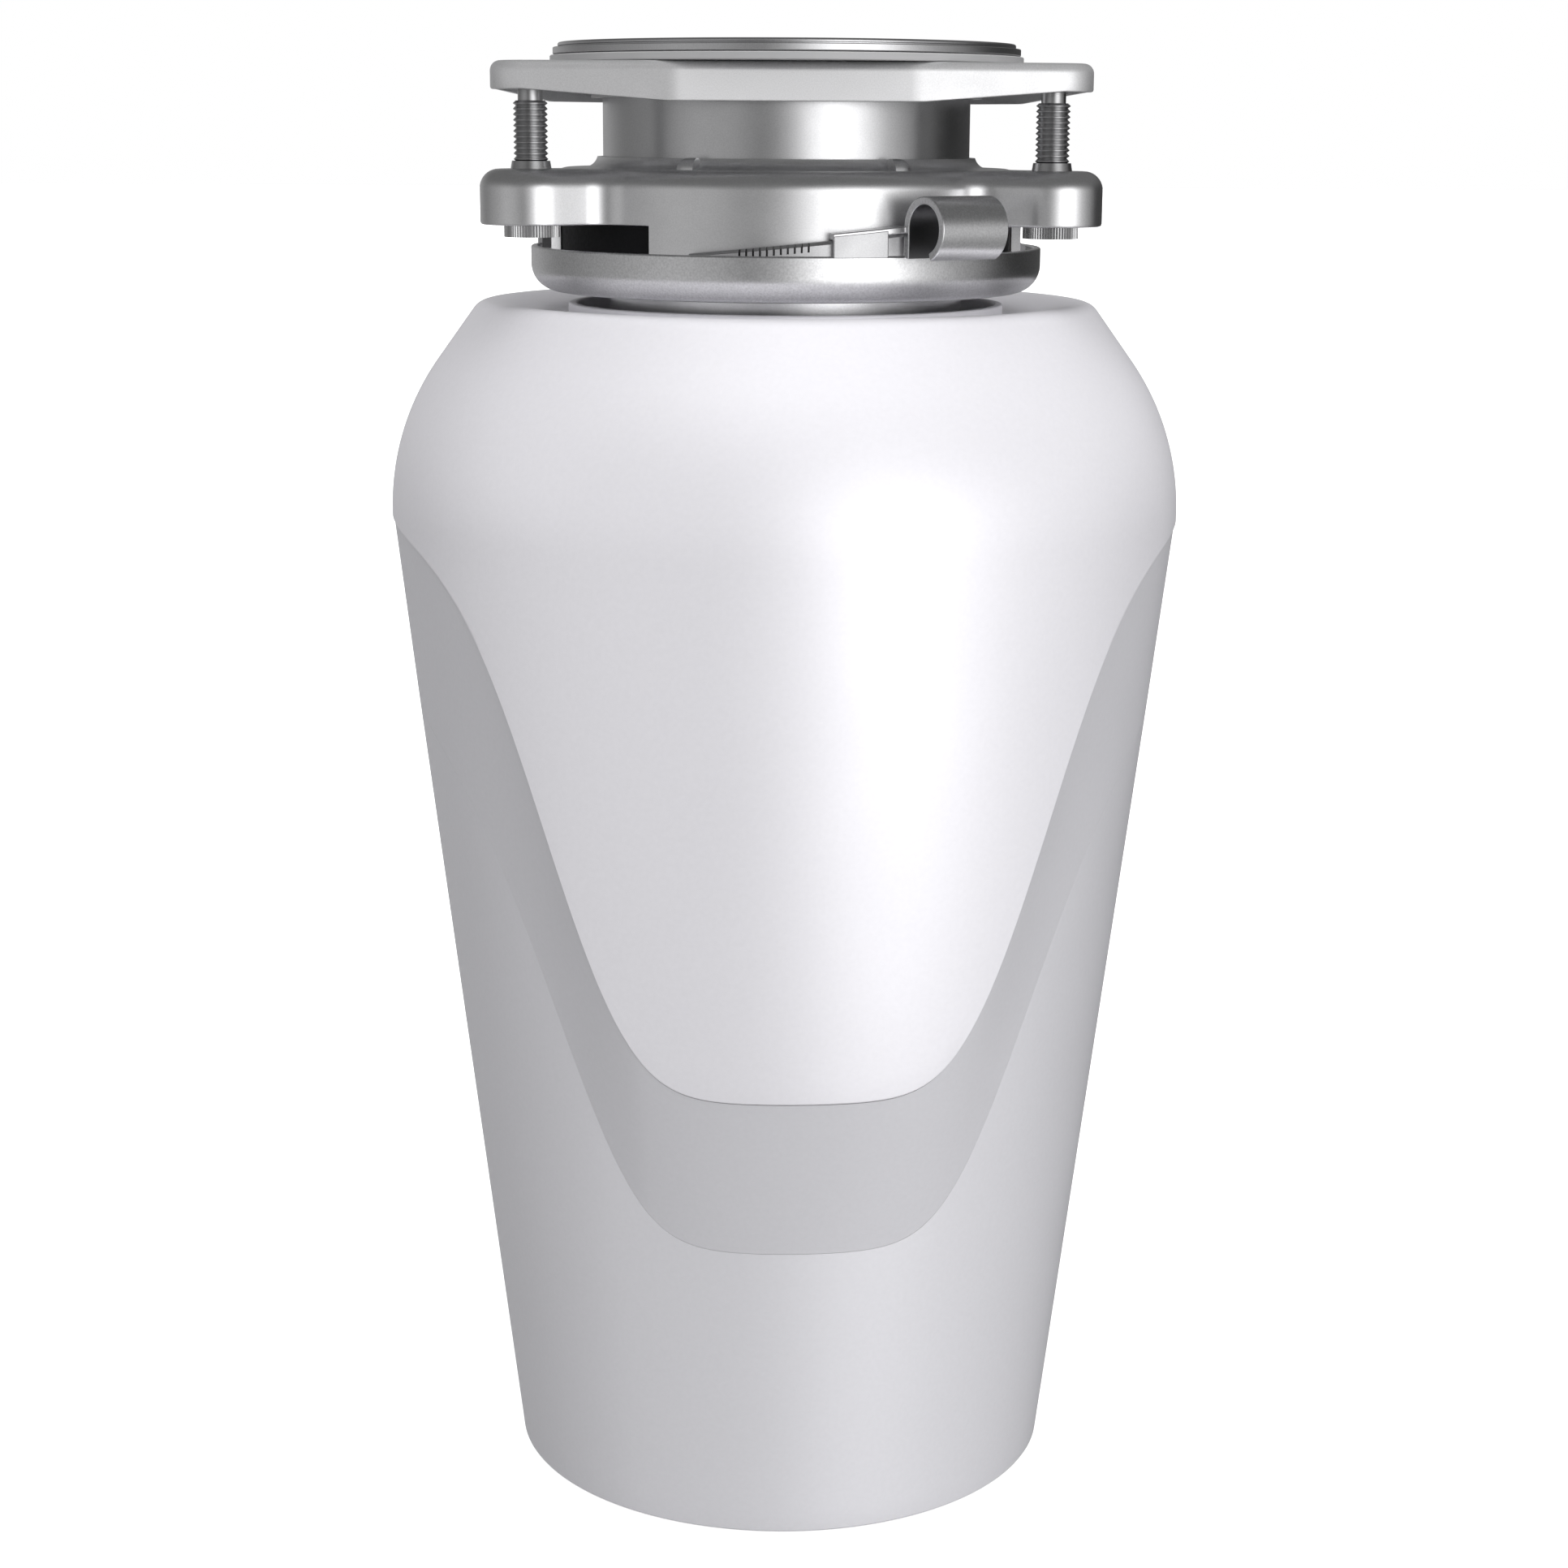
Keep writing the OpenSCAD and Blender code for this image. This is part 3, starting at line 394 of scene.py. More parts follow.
def make_upper_shell():
    """Shoulder and apron in one, with a small round along the apron's edge."""
    rows, edge = 22, 0.5

    def apron_row(t):
        return [(a, mix(apron_edge(a) + SEAM, WAIST_Z, t)) for a in DIRECTIONS]

    outer = [
        [polar(face_r(z) - inset, a, z + lift) for a, z in apron_row(0)]
        for inset, lift in ((edge, 0), (edge * 0.3, edge * 0.3))
    ]
    for i in range(rows + 1):
        lift = edge * (1 - i / rows)
        outer.append([polar(face_r(z + lift), a, z + lift) for a, z in apron_row(i / rows)])
    top = [[polar(r, a, z) for a in DIRECTIONS] for r, z in shoulder_profile()]
    inner = [[polar(face_r(z) - WALL, a, z) for a, z in apron_row(t)] for t in (1, 0.75, 0.5, 0.25, 0)]
    shell = loft("UpperShell", outer + top + inner, FINISHES["shell_white"])
    cut_cylinder(shell, (0, 70, OUTLET_Z), (0, 120, OUTLET_Z), OUTLET_HOLE_R)
    side = math.radians(INLET_AT)
    cut_cylinder(shell, polar(70, side, INLET_Z), polar(120, side, INLET_Z), INLET_HOLE_R)
    stand_for(shell, "upper_shell", "disposer")


def make_accent_band():
    rows = 8
    low = [band_edge(a) + SEAM for a in DIRECTIONS]
    high = [apron_edge(a) for a in DIRECTIONS]

    def ring(t, inset):
        return [
            polar(mix(cone_r(lo), face_r(hi) - BAND_REVEAL, t) - inset, a, mix(lo, hi, t))
            for a, lo, hi in zip(DIRECTIONS, low, high)
        ]

    rings = [ring(i / rows, 0) for i in range(rows + 1)] + [ring(1, WALL), ring(0, WALL)]
    stand_for(loft("AccentBand", rings, FINISHES["shell_grey"]), "accent_band", "disposer")


def make_lower_shell():
    rows = 16
    foot_round = 0.6

    def ring(t, inset):
        heights = [mix(FOOT_Z + foot_round, band_edge(a), t) for a in DIRECTIONS]
        return [polar(cone_r(z) - inset, a, z) for a, z in zip(DIRECTIONS, heights)]

    foot = [[polar(cone_r(FOOT_Z) - foot_round, a, FOOT_Z) for a in DIRECTIONS]]
    foot += [[polar(cone_r(FOOT_Z) - 0.2, a, FOOT_Z + 0.2) for a in DIRECTIONS]]
    inner = [ring(1, WALL), ring(0.5, WALL), [polar(cone_r(FOOT_Z) - WALL, a, FOOT_Z) for a in DIRECTIONS]]
    shell = loft("LowerShell", foot + [ring(i / rows, 0) for i in range(rows + 1)] + inner, FINISHES["shell_light"])
    cut_cylinder(shell, (0, 55, GLAND_Z), (0, 85, GLAND_Z), GLAND_HOLE_R)
    stand_for(shell, "lower_shell", "disposer")


# ---------- Sink mount ----------

LOBES = 3
BOLT_CIRCLE = 69.6
LOBE_AT = [math.radians(-30 + 120 * k) for k in range(LOBES)]
SECTOR_AT = [math.radians(-90 + 120 * k) for k in range(LOBES)]
PLATE_TOP, PLATE_LOW, PLATE_LOBE_LOW = 351.5, 342.6, 345.1
PLATE_LOBE_R, PLATE_FLAT, PLATE_CORNER, PLATE_CORNER_OUT = 9.1, 50.0, 18.0, 26.0
PLATE_BORE_R, PLATE_SKIN, PLATE_WALL, PLATE_ROUND = 45.2, 2.4, 1.6, 2.3
PLATE_STEP = 1.5
RING_TOP, RING_LOW, RING_R, RING_ROUND = 327.3, 314.7, 57.2, 4.4
RING_ROOF_Z = 323.4
RING_LOBE_R, RING_BLEND, RING_BORE_R, RING_SKIRT = 11.9, 8.0, 44.9, 2.2
DOME_R, DOME_H = 48.7, 2.5
SKIRT_LOW, SKIRT_HALF = 306.0, 35.5
RAMP_R, RAMP_HALF, RAMP_LOW_Z, RAMP_RISE, RAMP_T = 60.0, 24.0, 309.0, 4.7, 2.2
INSERT_R = 5.5
TIP_R = 2.85
FLANGE_R, FLANGE_TOP = 57.0, 356.4
THROAT_R, THROAT_BORE_R, SLEEVE_LOW, GROOVE_Z = 44.4, 42.4, 319.0, 321.8
SWIVEL_R, BOWL_LOW, BOWL_TOP, BOWL_T, BOWL_CORNER = 62.1, 298.0, 308.75, 1.8, 6.5
TAB_FROM, TAB_TO, LIP_TO, TAB_T, TAB_GAP = 7.4, 19.6, 23.8, 1.5, 0.2
NECK_R, NECK_LOW = 43.0, 286.0
EAR_AT, EAR_Z, EAR_LEN, EAR_R, EAR_END = 32.0, 314.8, 18.5, 7.3, -70.0


def turned(points, angle):
    """Points turned about the vertical axis."""
    c, s = math.cos(angle), math.sin(angle)
    return [(x * c - y * s, x * s + y * c) for x, y in points]


def ring_outline():
    """The mounting ring's lobed outline as [(point, outward normal)], with arms blended into the ring."""
    fx = math.sqrt((RING_R + RING_BLEND) ** 2 - (RING_LOBE_R + RING_BLEND) ** 2)
    fy = RING_LOBE_R + RING_BLEND
    meet = math.degrees(math.atan2(fy, fx))
    half = [((BOLT_CIRCLE + RING_LOBE_R * math.cos(a), RING_LOBE_R * math.sin(a)), (math.cos(a), math.sin(a)))
            for a in (math.radians(90 * i / 14) for i in range(15))]
    half += [((mix(BOLT_CIRCLE, fx, i / 4), RING_LOBE_R), (0, 1)) for i in (1, 2, 3)]
    for i in range(11):
        a = math.radians(-90 - (90 - meet) * i / 10)
        half.append(((fx + RING_BLEND * math.cos(a), fy + RING_BLEND * math.sin(a)), (-math.cos(a), -math.sin(a))))
    for i in range(1, 21):
        a = math.radians(mix(meet, 60, i / 20))
        half.append(((RING_R * math.cos(a), RING_R * math.sin(a)), (math.cos(a), math.sin(a))))
    lower = [((x, -y), (u, -v)) for (x, y), (u, v) in half[-2:0:-1]]
    lobe = lower + half
    outline = []
    for angle in LOBE_AT:
        points = turned([p for p, _ in lobe], angle)
        normals = turned([n for _, n in lobe], angle)
        outline += list(zip(points, normals))
    return outline


def inset_ring(outline, inset, z):
    return [(x - u * inset, y - v * inset, z) for (x, y), (u, v) in outline]


def circle_ring(outline, r, z):
    """A circle with one point for each point of an outline."""
    return [(r * x / math.hypot(x, y), r * y / math.hypot(x, y), z) for (x, y), _ in outline]


def rounded_edge(outline, r, top, n=8):
    """Rings over a rounded top edge, from the side wall to the top face."""
    turns = [math.radians(90 * i / n) for i in range(n + 1)]
    return [inset_ring(outline, r * (1 - math.cos(a)), top - r * (1 - math.sin(a))) for a in turns]


def swept(section, angles):
    """Points and faces of a bar bent round the axis.

    section gives its (radius, height) corners at an angle in degrees.
    """
    rows = [[polar(r, math.radians(a), z) for r, z in section(a)] for a in angles]
    n = len(rows[0])
    points = [p for row in rows for p in row]
    faces = [((i + 1) * n + k, (i + 1) * n + (k + 1) % n, i * n + (k + 1) % n, i * n + k)
             for i in range(len(rows) - 1) for k in range(n)]
    last = (len(rows) - 1) * n
    return points, faces + [tuple(range(n)), tuple(range(last + n - 1, last - 1, -1))]


def sector(r0, r1, a0, a1, bottom, top):
    """A ring's sector between two radii; bottom and top are functions of the angle."""
    angles = [mix(a0, a1, i / 40) for i in range(41)]
    return swept(lambda a: [(r0, bottom(a)), (r1, bottom(a)), (r1, top(a)), (r0, top(a))], angles)


RAMP_SLOTS = [-12.4 + 1.49 * k for k in range(11)]
SLOT_HALF, SLOT_DEPTH, SLOT_HEIGHT, RAMP_EDGE = 0.21, 1.6, 2.0, 0.7


def climb(a):
    """Height of a lock ramp's top."""
    return RAMP_LOW_Z + RAMP_RISE * (a + RAMP_HALF) / (2 * RAMP_HALF)


def ramp_teeth(a):
    """The ramp's upper part with its chamfered edge, cut back at each slot."""
    r = RAMP_R - SLOT_DEPTH if min(abs(a - slot) for slot in RAMP_SLOTS) < SLOT_HALF else RAMP_R
    foot = climb(a) - SLOT_HEIGHT
    return [(RING_R - 1, foot), (r, foot), (r, climb(a) - RAMP_EDGE), (r - RAMP_EDGE, climb(a)), (RING_R - 1, climb(a))]


def ramp_foot(a):
    """The ramp's lower part, down behind the bowl's rim."""
    top, low = climb(a) - SLOT_HEIGHT, min(climb(a) - RAMP_T, BOWL_TOP - 1)
    return [(RING_R - 1, low), (RAMP_R, low), (RAMP_R, top), (RING_R - 1, top)]


def make_mounting_ring():
    outline = ring_outline()
    low_round = 0.7
    rings = [inset_ring(outline, low_round, RING_LOW), inset_ring(outline, 0.2, RING_LOW + 0.2)]
    rings += [inset_ring(outline, 0, RING_LOW + low_round)] + rounded_edge(outline, RING_ROUND, RING_TOP, 10)
    rings += [circle_ring(outline, DOME_R + 0.6, RING_TOP), circle_ring(outline, DOME_R + 0.1, RING_TOP + 0.15)]
    rings += [circle_ring(outline, DOME_R - 3 * math.sin(a), RING_TOP + 0.1 + (DOME_H - 0.1) * (1 - math.cos(a * 1.2)))
              for a in (math.radians(75 * i / 10) for i in range(1, 11))]
    rings += [circle_ring(outline, RING_BORE_R, RING_TOP + DOME_H), circle_ring(outline, RING_BORE_R, RING_ROOF_Z)]
    rings += [circle_ring(outline, RING_R - RING_SKIRT, RING_ROOF_Z), circle_ring(outline, RING_R - RING_SKIRT, RING_LOW)]
    body = loft("MountingRing", rings, FINISHES["cast_nickel"])
    for a in LOBE_AT:
        cut_cylinder(body, polar(BOLT_CIRCLE, a, RING_LOW - 2), polar(BOLT_CIRCLE, a, RING_TOP + 2), INSERT_R)
    stand_for(body, "mounting_ring", "mount")

    even = [-RAMP_HALF + 0.5 * i for i in range(97)]
    edges = [slot + side * (SLOT_HALF + d) for slot in RAMP_SLOTS for side in (-1, 1) for d in (-0.01, 0.01)]
    for k, at in enumerate(SECTOR_AT):
        skirt = sector(
            RING_R - RING_SKIRT, RING_R + 0.02, -SKIRT_HALF, SKIRT_HALF, lambda a: SKIRT_LOW, lambda a: RING_LOW + 2
        )
        parts = {
            f"LockSkirt_{k + 1}": (skirt, "cast_nickel"),
            # The ramps take the darker nickel: painted shade that holds down their highlight.
            f"LockRamp_{k + 1}": (swept(ramp_teeth, sorted(even + edges)), "painted_shade_tab_nickel"),
            f"RampFoot_{k + 1}": (swept(ramp_foot, even), "painted_shade_tab_nickel"),
        }
        for name, ((points, faces), finish) in parts.items():
            piece = mesh_object(name, [(*turned([(x, y)], at)[0], z) for x, y, z in points], faces, FINISHES[finish])
            if finish == "painted_shade_tab_nickel":
                # The slots' inner faces get the near-black nickel: painted shade in the slots.
                piece.data.materials.append(FINISHES["painted_shade_nickel"])
                for face in piece.data.polygons:
                    reach = math.hypot(face.center.x, face.center.y) / MM
                    in_slot = RING_R < reach < RAMP_R - SLOT_DEPTH / 3 and abs(face.normal.z) < 0.5
                    face.material_index = int(in_slot)
            attach(piece, "mount")
    make_dome_lugs()


def make_dome_lugs():
    """Small lugs staked out of the dome's foot, in pairs at the front and the back: a round nose and a cut end."""
    apart, r, length, height = 30.7, 2.3, 5.3, 2.9
    for k, a in enumerate(math.radians(side + turn) for side in (-90, 90) for turn in (-apart, apart)):
        hand = 1 if k % 2 else -1
        points = []
        for i in range(25):
            t = i / 24
            along = (t - 0.5) * length
            size = math.sqrt(max(0.0, 1 - max(0.0, (t - 0.35) / 0.65) ** 2.2)) if i < 24 else 0.03
            points += [(DOME_R - 1.0 + r * size * math.cos(b), hand * along, RING_TOP - 0.2 + height * size * math.sin(b))
                       for b in (math.radians(180 * j / 24) for j in range(25))]
        faces = [(j * 25 + i, (j + 1) * 25 + i, (j + 1) * 25 + (i + 1) % 25, j * 25 + (i + 1) % 25)
                 for j in range(24) for i in range(25)]
        faces += [tuple(range(25)), tuple(range(24 * 25, 25 * 25))[::-1]]
        faces = [f if hand > 0 else f[::-1] for f in faces]
        placed = [(*turned([(x, y)], a)[0], z) for x, y, z in points]
        lug = mesh_object(f"DomeLug_{k + 1}", placed, faces, FINISHES["cast_nickel"], 50)
        attach(lug, "mount")


def revolve(name, profile, material, sharp=35):
    """A solid of revolution from a closed outline of (radius, height)."""
    return loft(name, [[polar(r, a, z) for a in DIRECTIONS] for r, z in profile], material, sharp=sharp)


def make_sink_flange():
    low_z, ring_r, lip_r, edge = FLANGE_TOP - 3, FLANGE_R - 0.7, FLANGE_R - 1.9, 0.15
    profile = [(THROAT_BORE_R, SLEEVE_LOW), (THROAT_R - edge, SLEEVE_LOW), (THROAT_R, SLEEVE_LOW + edge)]
    profile += [(THROAT_R, GROOVE_Z - 1.2), (THROAT_R - 1, GROOVE_Z - 1.2)]
    profile += [(THROAT_R - 1, GROOVE_Z + 1.2), (THROAT_R, GROOVE_Z + 1.2)]
    profile += [(THROAT_R, low_z), (FLANGE_R - 1.6, low_z)]
    profile += [(FLANGE_R - 1.4, low_z + 0.25), (ring_r - edge, low_z + 0.25)]
    profile += [(ring_r, low_z + 0.25 + edge), (ring_r, FLANGE_TOP - 1.15 - edge), (ring_r - edge, FLANGE_TOP - 1.15)]
    profile += [(FLANGE_R - 2.3, FLANGE_TOP - 1.15), (FLANGE_R - 2.3, FLANGE_TOP - 0.9), (lip_r - edge, FLANGE_TOP - 0.9)]
    profile += [(lip_r, FLANGE_TOP - 0.9 + edge)] + arc(lip_r - 0.5, FLANGE_TOP - 0.5, 0.5, 0, 90, 5)
    profile += arc(THROAT_BORE_R + 8, FLANGE_TOP - 8, 8, 90, 180, 14) + [(THROAT_BORE_R, FLANGE_TOP - 10)]
    stand_for(revolve("SinkFlange", profile, FINISHES["satin_nickel"]), "sink_flange", "mount")


def make_fibre_gasket():
    top, edge = FLANGE_TOP - 3, 0.2
    low = top - 1.8
    inner = THROAT_R + 0.4
    profile = [(inner, low), (FLANGE_R - edge, low), (FLANGE_R, low + edge)]
    profile += [(FLANGE_R, top - edge), (FLANGE_R - edge, top), (inner, top)]
    stand_for(revolve("FibreGasket", profile, FINISHES["fibre"]), "fibre_gasket", "mount")


def make_hopper_neck():
    """The polished land of the hopper's neck, seen in the gap under the bowl, in a lighter nickel: painted light for
    the light that reaches it there.
    """
    low, high = NECK_LOW, BOWL_LOW - 0.1
    profile = [(NECK_R - 0.5, low), (NECK_R + 0.04, low), (NECK_R + 0.04, high), (NECK_R - 0.5, high)]
    attach(revolve("HopperNeck", profile, FINISHES["painted_light_neck_nickel"]), "disposer")


def swivel_piece(name, points, faces, angle=0.0, bevel=0.25):
    """A bevelled piece of the swivel ring, turned into its place."""
    placed = [(*turned([(x, y)], angle)[0], z) for x, y, z in points]
    # Swivel pieces take the lighter nickel: painted light for the bounce from the casing.
    piece = mesh_object(name, placed, faces, FINISHES["painted_light_bowl_nickel"])
    edges = piece.modifiers.new("edges", "BEVEL")
    edges.width, edges.segments, edges.limit_method = bevel * MM, 3, "ANGLE"
    edges.angle_limit = math.radians(40)
    attach(piece, "swivel")
    return piece


def make_wrench_ear(name, at):
    """A rolled loop of sheet that stands on the bowl's rim, open towards the bottom."""
    inner_r, turns = EAR_R - BOWL_T, 72
    foot = BOWL_TOP - EAR_Z - 0.6
    stations = [((-EAR_R, foot), (-inner_r, foot)), ((-EAR_R, foot / 2), (-inner_r, foot / 2))]
    outer, inner = arc(0, 0, EAR_R, 180, EAR_END, turns), arc(0, 0, inner_r, 180, EAR_END, turns)
    stations += list(zip(outer, inner))
    reach = SWIVEL_R - BOWL_T + 0.3 + EAR_R
    points = []
    for side in (-EAR_LEN / 2, EAR_LEN / 2):
        points += [(reach + x, side, EAR_Z + z) for pair in stations for x, z in pair]
    n, m = len(stations), 2 * len(stations)
    faces = [(0, 1, m + 1, m), (m - 2, 2 * m - 2, 2 * m - 1, m - 1)]
    for i in range(n - 1):
        a, b, c, d = 2 * i, 2 * i + 1, 2 * i + 2, 2 * i + 3
        faces += [(a, c, d, b), (m + a, m + b, m + d, m + c), (a, m + a, m + c, c), (b, d, m + d, m + b)]
    ear = swivel_piece(name, points, faces, math.radians(-90 + at))
    # The ear's inside faces get the near-black nickel: painted shade inside the loop.
    ear.data.materials.append(FINISHES["painted_shade_nickel"])
    for i in range(n - 1):
        ear.data.polygons[2 + 4 * i + 3].material_index = 1


def make_swivel_ring():
    """The bowl with its rolled lip, three lock tabs that ride on the ramps, and two wrench ears."""
    cx, cz, lip = SWIVEL_R - BOWL_CORNER, BOWL_LOW + BOWL_CORNER, 0.45
    profile = [(NECK_R + 1.2, BOWL_LOW)] + arc(cx, cz, BOWL_CORNER, -90, 0, 20)
    profile += arc(SWIVEL_R - lip, BOWL_TOP - lip, lip, 0, 90, 4)
    profile += arc(SWIVEL_R - BOWL_T + lip, BOWL_TOP - lip, lip, 90, 180, 4)
    profile += arc(cx, cz, BOWL_CORNER - BOWL_T, 0, -90, 16) + [(NECK_R + 1.2, BOWL_LOW + BOWL_T)]
    # The bowl takes the lighter nickel: painted light for the bounce from the casing.
    bowl = revolve("SwivelRing", profile, FINISHES["painted_light_bowl_nickel"])
    # The bowl is kept out of reflections, or it would darken the neck under it more than in the photograph.
    bowl.visible_glossy = False
    stand_for(bowl, "swivel_ring", "swivel")

    def under(a):
        return climb(a) + TAB_GAP

    for k, at in enumerate(SECTOR_AT):
        points, faces = sector(RAMP_R - 2.4, SWIVEL_R - 0.1, TAB_FROM, LIP_TO, under, lambda a: under(a) + TAB_T)
        swivel_piece(f"LockLip_{k + 1}", points, faces, at)
        points, faces = sector(
            RAMP_R + 0.5, SWIVEL_R - 0.05, TAB_FROM + 0.1, TAB_TO - 0.1, lambda a: BOWL_TOP - 2, lambda a: under(a) + 1
        )
        tab = swivel_piece(f"LockTab_{k + 1}", points, faces, at)
        # The tab's block takes the darker nickel: painted shade that holds down its highlight.
        tab.data.materials[0] = FINISHES["painted_shade_tab_nickel"]
    for k in (0, 1):
        make_wrench_ear(f"WrenchEar_{k + 1}", EAR_AT + 120 * k)


def plate_outline():
    """The backup plate's outline as [(point, normal)], with a skirt height for each point."""
    circles = [(polar(BOLT_CIRCLE, a, 0)[:2], PLATE_LOBE_R, PLATE_LOBE_LOW) for a in LOBE_AT]
    for a in SECTOR_AT:
        for side in (-1, 1):
            corner = turned([(PLATE_FLAT - PLATE_CORNER, side * PLATE_CORNER_OUT)], a)[0]
            circles.append((corner, PLATE_CORNER, PLATE_LOW))
    samples = 720
    outline, lows = [], []
    for i in range(samples):
        a = 2 * math.pi * i / samples
        n = (math.cos(a), math.sin(a))
        centre, r, low = max(circles, key=lambda c: c[0][0] * n[0] + c[0][1] * n[1] + c[1])
        outline.append(((centre[0] + r * n[0], centre[1] + r * n[1]), n))
        lows.append(low)
    # The straight sides are filled in, so that the bore's circle gets a point opposite each of their steps.
    filled, heights = [], []
    for i, (p, n) in enumerate(outline):
        j = (i + 1) % samples
        q, m = outline[j]
        steps = max(1, math.ceil(math.dist(p, q) / PLATE_STEP))
        for t in (k / steps for k in range(steps)):
            point, normal = (tuple(mix(u, v, t) for u, v in zip(*pair)) for pair in ((p, q), (n, m)))
            filled.append((point, normal))
            heights.append(mix(lows[i], lows[j], t))
    return filled, heights


def make_backup_plate():
    outline, lows = plate_outline()
    edge = 0.5

    def skirt(inset, lift):
        return [(x - u * inset, y - v * inset, low + lift) for ((x, y), (u, v)), low in zip(outline, lows)]

    roof = PLATE_TOP - PLATE_SKIN
    rings = [skirt(edge, 0), skirt(0.15, 0.15), skirt(0, edge)] + rounded_edge(outline, PLATE_ROUND, PLATE_TOP, 8)
    bore = [(PLATE_BORE_R + 0.5, PLATE_TOP), (PLATE_BORE_R, PLATE_TOP - 0.5), (PLATE_BORE_R, PLATE_LOW + 1)]
    bore += [(PLATE_BORE_R + 2, PLATE_LOW + 1), (PLATE_BORE_R + 2, roof)]
    rings += [circle_ring(outline, r, z) for r, z in bore]
    rings += [inset_ring(outline, PLATE_WALL + 0.4, roof), skirt(PLATE_WALL, 0)]
    stand_for(loft("BackupPlate", rings, FINISHES["plate_nickel"]), "backup_plate", "mount")
    boss_r, hole_r, low, high = 4.6, TIP_R + 0.15, PLATE_LOBE_LOW + 1, roof + 0.3
    tube = [(boss_r, low), (boss_r, high), (hole_r, high), (hole_r, low)]
    around = [math.radians(10 * i) for i in range(36)]
    for k, a in enumerate(LOBE_AT):
        cx, cy, _ = polar(BOLT_CIRCLE, a, 0)
        rings = [[(cx + r * math.cos(b), cy + r * math.sin(b), z) for b in around] for r, z in tube]
        boss = loft(f"PlateBoss_{k + 1}", rings, FINISHES["cast_nickel"])
        attach(boss, "mount")


# ---------- Studio ----------

def make_floor():
    """A wide pale floor that glows a little, so that the shadow on it stays light."""
    size = 30
    mat, tree, shader = new_material(
        "PaleFloor", (0.93, 0.93, 0.93), 0.8, Emission_Color=(1, 1, 1, 1), Emission_Strength=0.75
    )
    tint(tree, noise(tree, coordinates(tree), 3, 3), (0.925, 0.925, 0.925), (0.935, 0.935, 0.935), shader)
    corners = [(x * size / MM / 2, y * size / MM / 2, -0.2) for x, y in ((-1, -1), (1, -1), (1, 1), (-1, 1))]
    floor = mesh_object("Floor", corners, [(0, 1, 2, 3)], mat)
    floor.visible_glossy = False
    floor.visible_diffuse = False


# Brightness of the studio's walls at each azimuth in degrees, 0 behind the camera and 90 to its right.
WALLS = {
    -180: 0.40, -160: 0.42, -120: 0.20, -84: 0.32, -56: 0.48, -32: 0.42, -16: 0.17,
    0: 0.45, 16: 1.75, 30: 2.3, 45: 1.7, 60: 0.6, 84: 0.30, 110: 0.02, 160: 0.06, 180: 0.40,
}
BRIGHTEST = max(WALLS.values())
CEILING, UNDERFLOOR = 0.14, 0.28


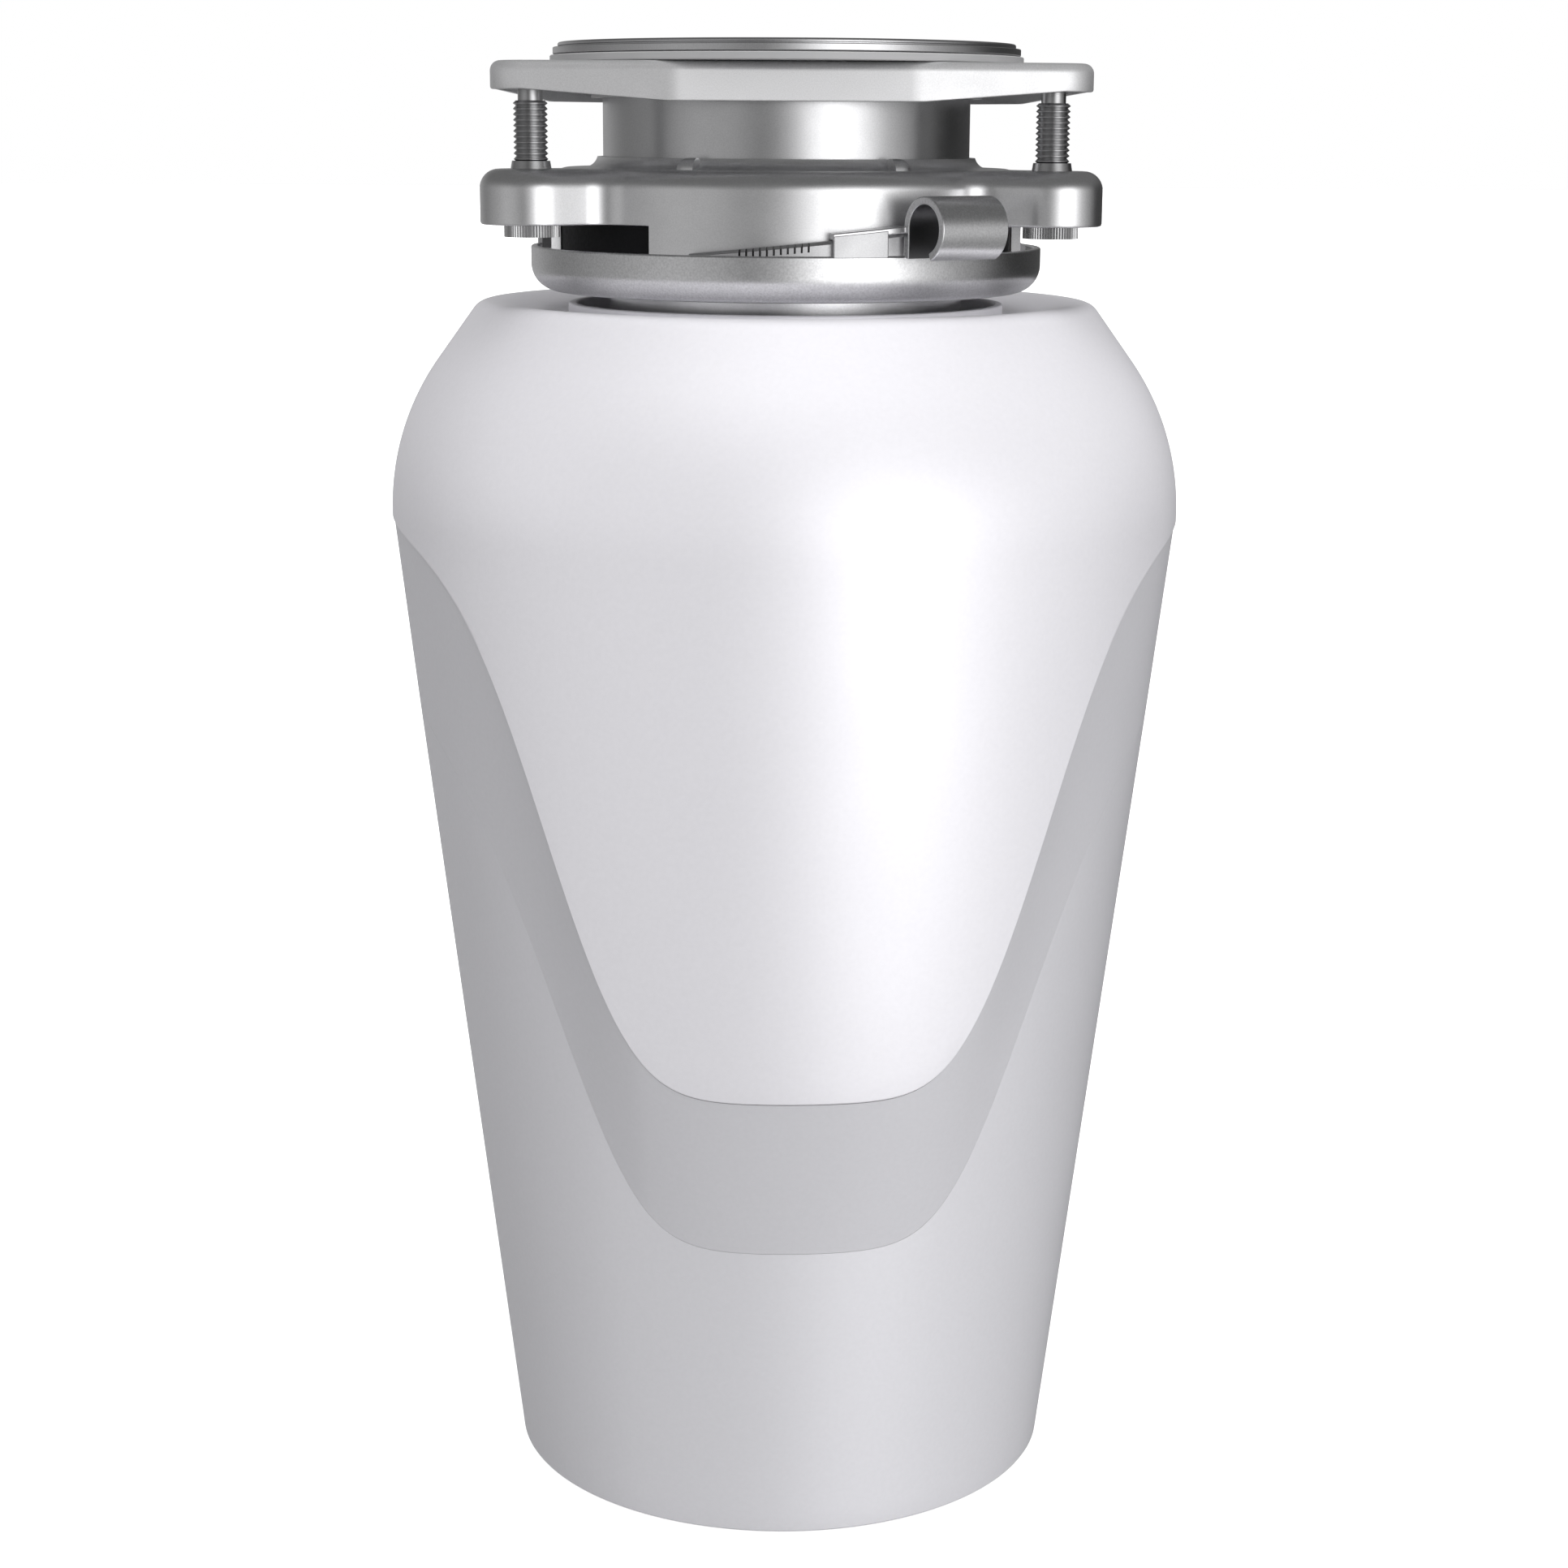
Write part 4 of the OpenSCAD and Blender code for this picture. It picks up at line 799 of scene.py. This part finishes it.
def make_world():
    """A white studio whose walls vary in brightness round the object, so that metal shows soft bands."""
    world = bpy.data.worlds.new("Studio")
    bpy.context.scene.world = world
    world.use_nodes = True
    tree = world.node_tree
    where = tree.nodes.new("ShaderNodeTexCoord")
    parts = tree.nodes.new("ShaderNodeSeparateXYZ")
    tree.links.new(where.outputs["Generated"], parts.inputs["Vector"])
    toward = tree.nodes.new("ShaderNodeMath")
    toward.operation = "MULTIPLY"
    toward.inputs[1].default_value = -1
    tree.links.new(parts.outputs["Y"], toward.inputs[0])
    angle = tree.nodes.new("ShaderNodeMath")
    angle.operation = "ARCTAN2"
    tree.links.new(parts.outputs["X"], angle.inputs[0])
    tree.links.new(toward.outputs["Value"], angle.inputs[1])
    turn = tree.nodes.new("ShaderNodeMapRange")
    turn.inputs["From Min"].default_value, turn.inputs["From Max"].default_value = -math.pi, math.pi
    tree.links.new(angle.outputs["Value"], turn.inputs["Value"])
    ramp = tree.nodes.new("ShaderNodeValToRGB")
    ramp.color_ramp.interpolation = "EASE"
    stops = [((a + 180) / 360, v / BRIGHTEST) for a, v in WALLS.items()]
    while len(ramp.color_ramp.elements) < len(stops):
        ramp.color_ramp.elements.new(0.5)
    for element, (place, value) in zip(ramp.color_ramp.elements, stops):
        element.position = place
        element.color = (value, value, value, 1)
    tree.links.new(turn.outputs["Result"], ramp.inputs["Fac"])
    back = tree.nodes["Background"]
    back.inputs["Strength"].default_value = BRIGHTEST
    walls = ramp.outputs["Color"]
    for level, start, end in ((CEILING, 0.1, 0.45), (UNDERFLOOR, -0.3, -0.65)):
        share = tree.nodes.new("ShaderNodeMapRange")
        for socket, value in zip(("From Min", "From Max", "To Min", "To Max"), (start, end, 0, 1)):
            share.inputs[socket].default_value = value
        tree.links.new(parts.outputs["Z"], share.inputs["Value"])
        blend = tree.nodes.new("ShaderNodeMix")
        blend.data_type = "RGBA"
        blend.inputs["B"].default_value = (level / BRIGHTEST, level / BRIGHTEST, level / BRIGHTEST, 1)
        tree.links.new(share.outputs["Result"], blend.inputs["Factor"])
        tree.links.new(walls, blend.inputs["A"])
        walls = blend.outputs["Result"]
    tree.links.new(walls, back.inputs["Color"])
    seen = tree.nodes.new("ShaderNodeBackground")
    seen.inputs["Color"].default_value = (1, 1, 1, 1)
    path = tree.nodes.new("ShaderNodeLightPath")
    choose = tree.nodes.new("ShaderNodeMixShader")
    tree.links.new(path.outputs["Is Camera Ray"], choose.inputs["Fac"])
    tree.links.new(back.outputs["Background"], choose.inputs[1])
    tree.links.new(seen.outputs["Background"], choose.inputs[2])
    tree.links.new(choose.outputs["Shader"], tree.nodes["World Output"].inputs["Surface"])


def sun_light(name, azimuth, height, power, soft):
    """Even light from an azimuth and height in degrees; metal mirrors the walls only, so it isn't in reflections."""
    light = bpy.data.lights.new(name, "SUN")
    light.energy = power
    light.angle = math.radians(soft)
    obj = bpy.data.objects.new(name, light)
    obj.visible_glossy = False
    bpy.context.collection.objects.link(obj)
    a, h = math.radians(azimuth), math.radians(height)
    away = Vector((math.cos(h) * math.sin(a), -math.cos(h) * math.cos(a), math.sin(h)))
    obj.rotation_euler = away.to_track_quat("Z", "Y").to_euler()


dress_nodes()
make_upper_shell()
make_accent_band()
make_lower_shell()
make_mounting_ring()
make_backup_plate()
make_sink_flange()
make_fibre_gasket()
make_swivel_ring()
make_hopper_neck()
make_floor()
make_world()
bpy.context.scene.view_settings.view_transform = "Standard"
sun_light("Overhead", 10, 74, 2.5, 60)
sun_light("Front", 22, 16, 1.28, 40)
sun_light("LeftSide", -96, 10, 1.25, 50)
sun_light("RightSide", 98, 10, 0.7, 50)
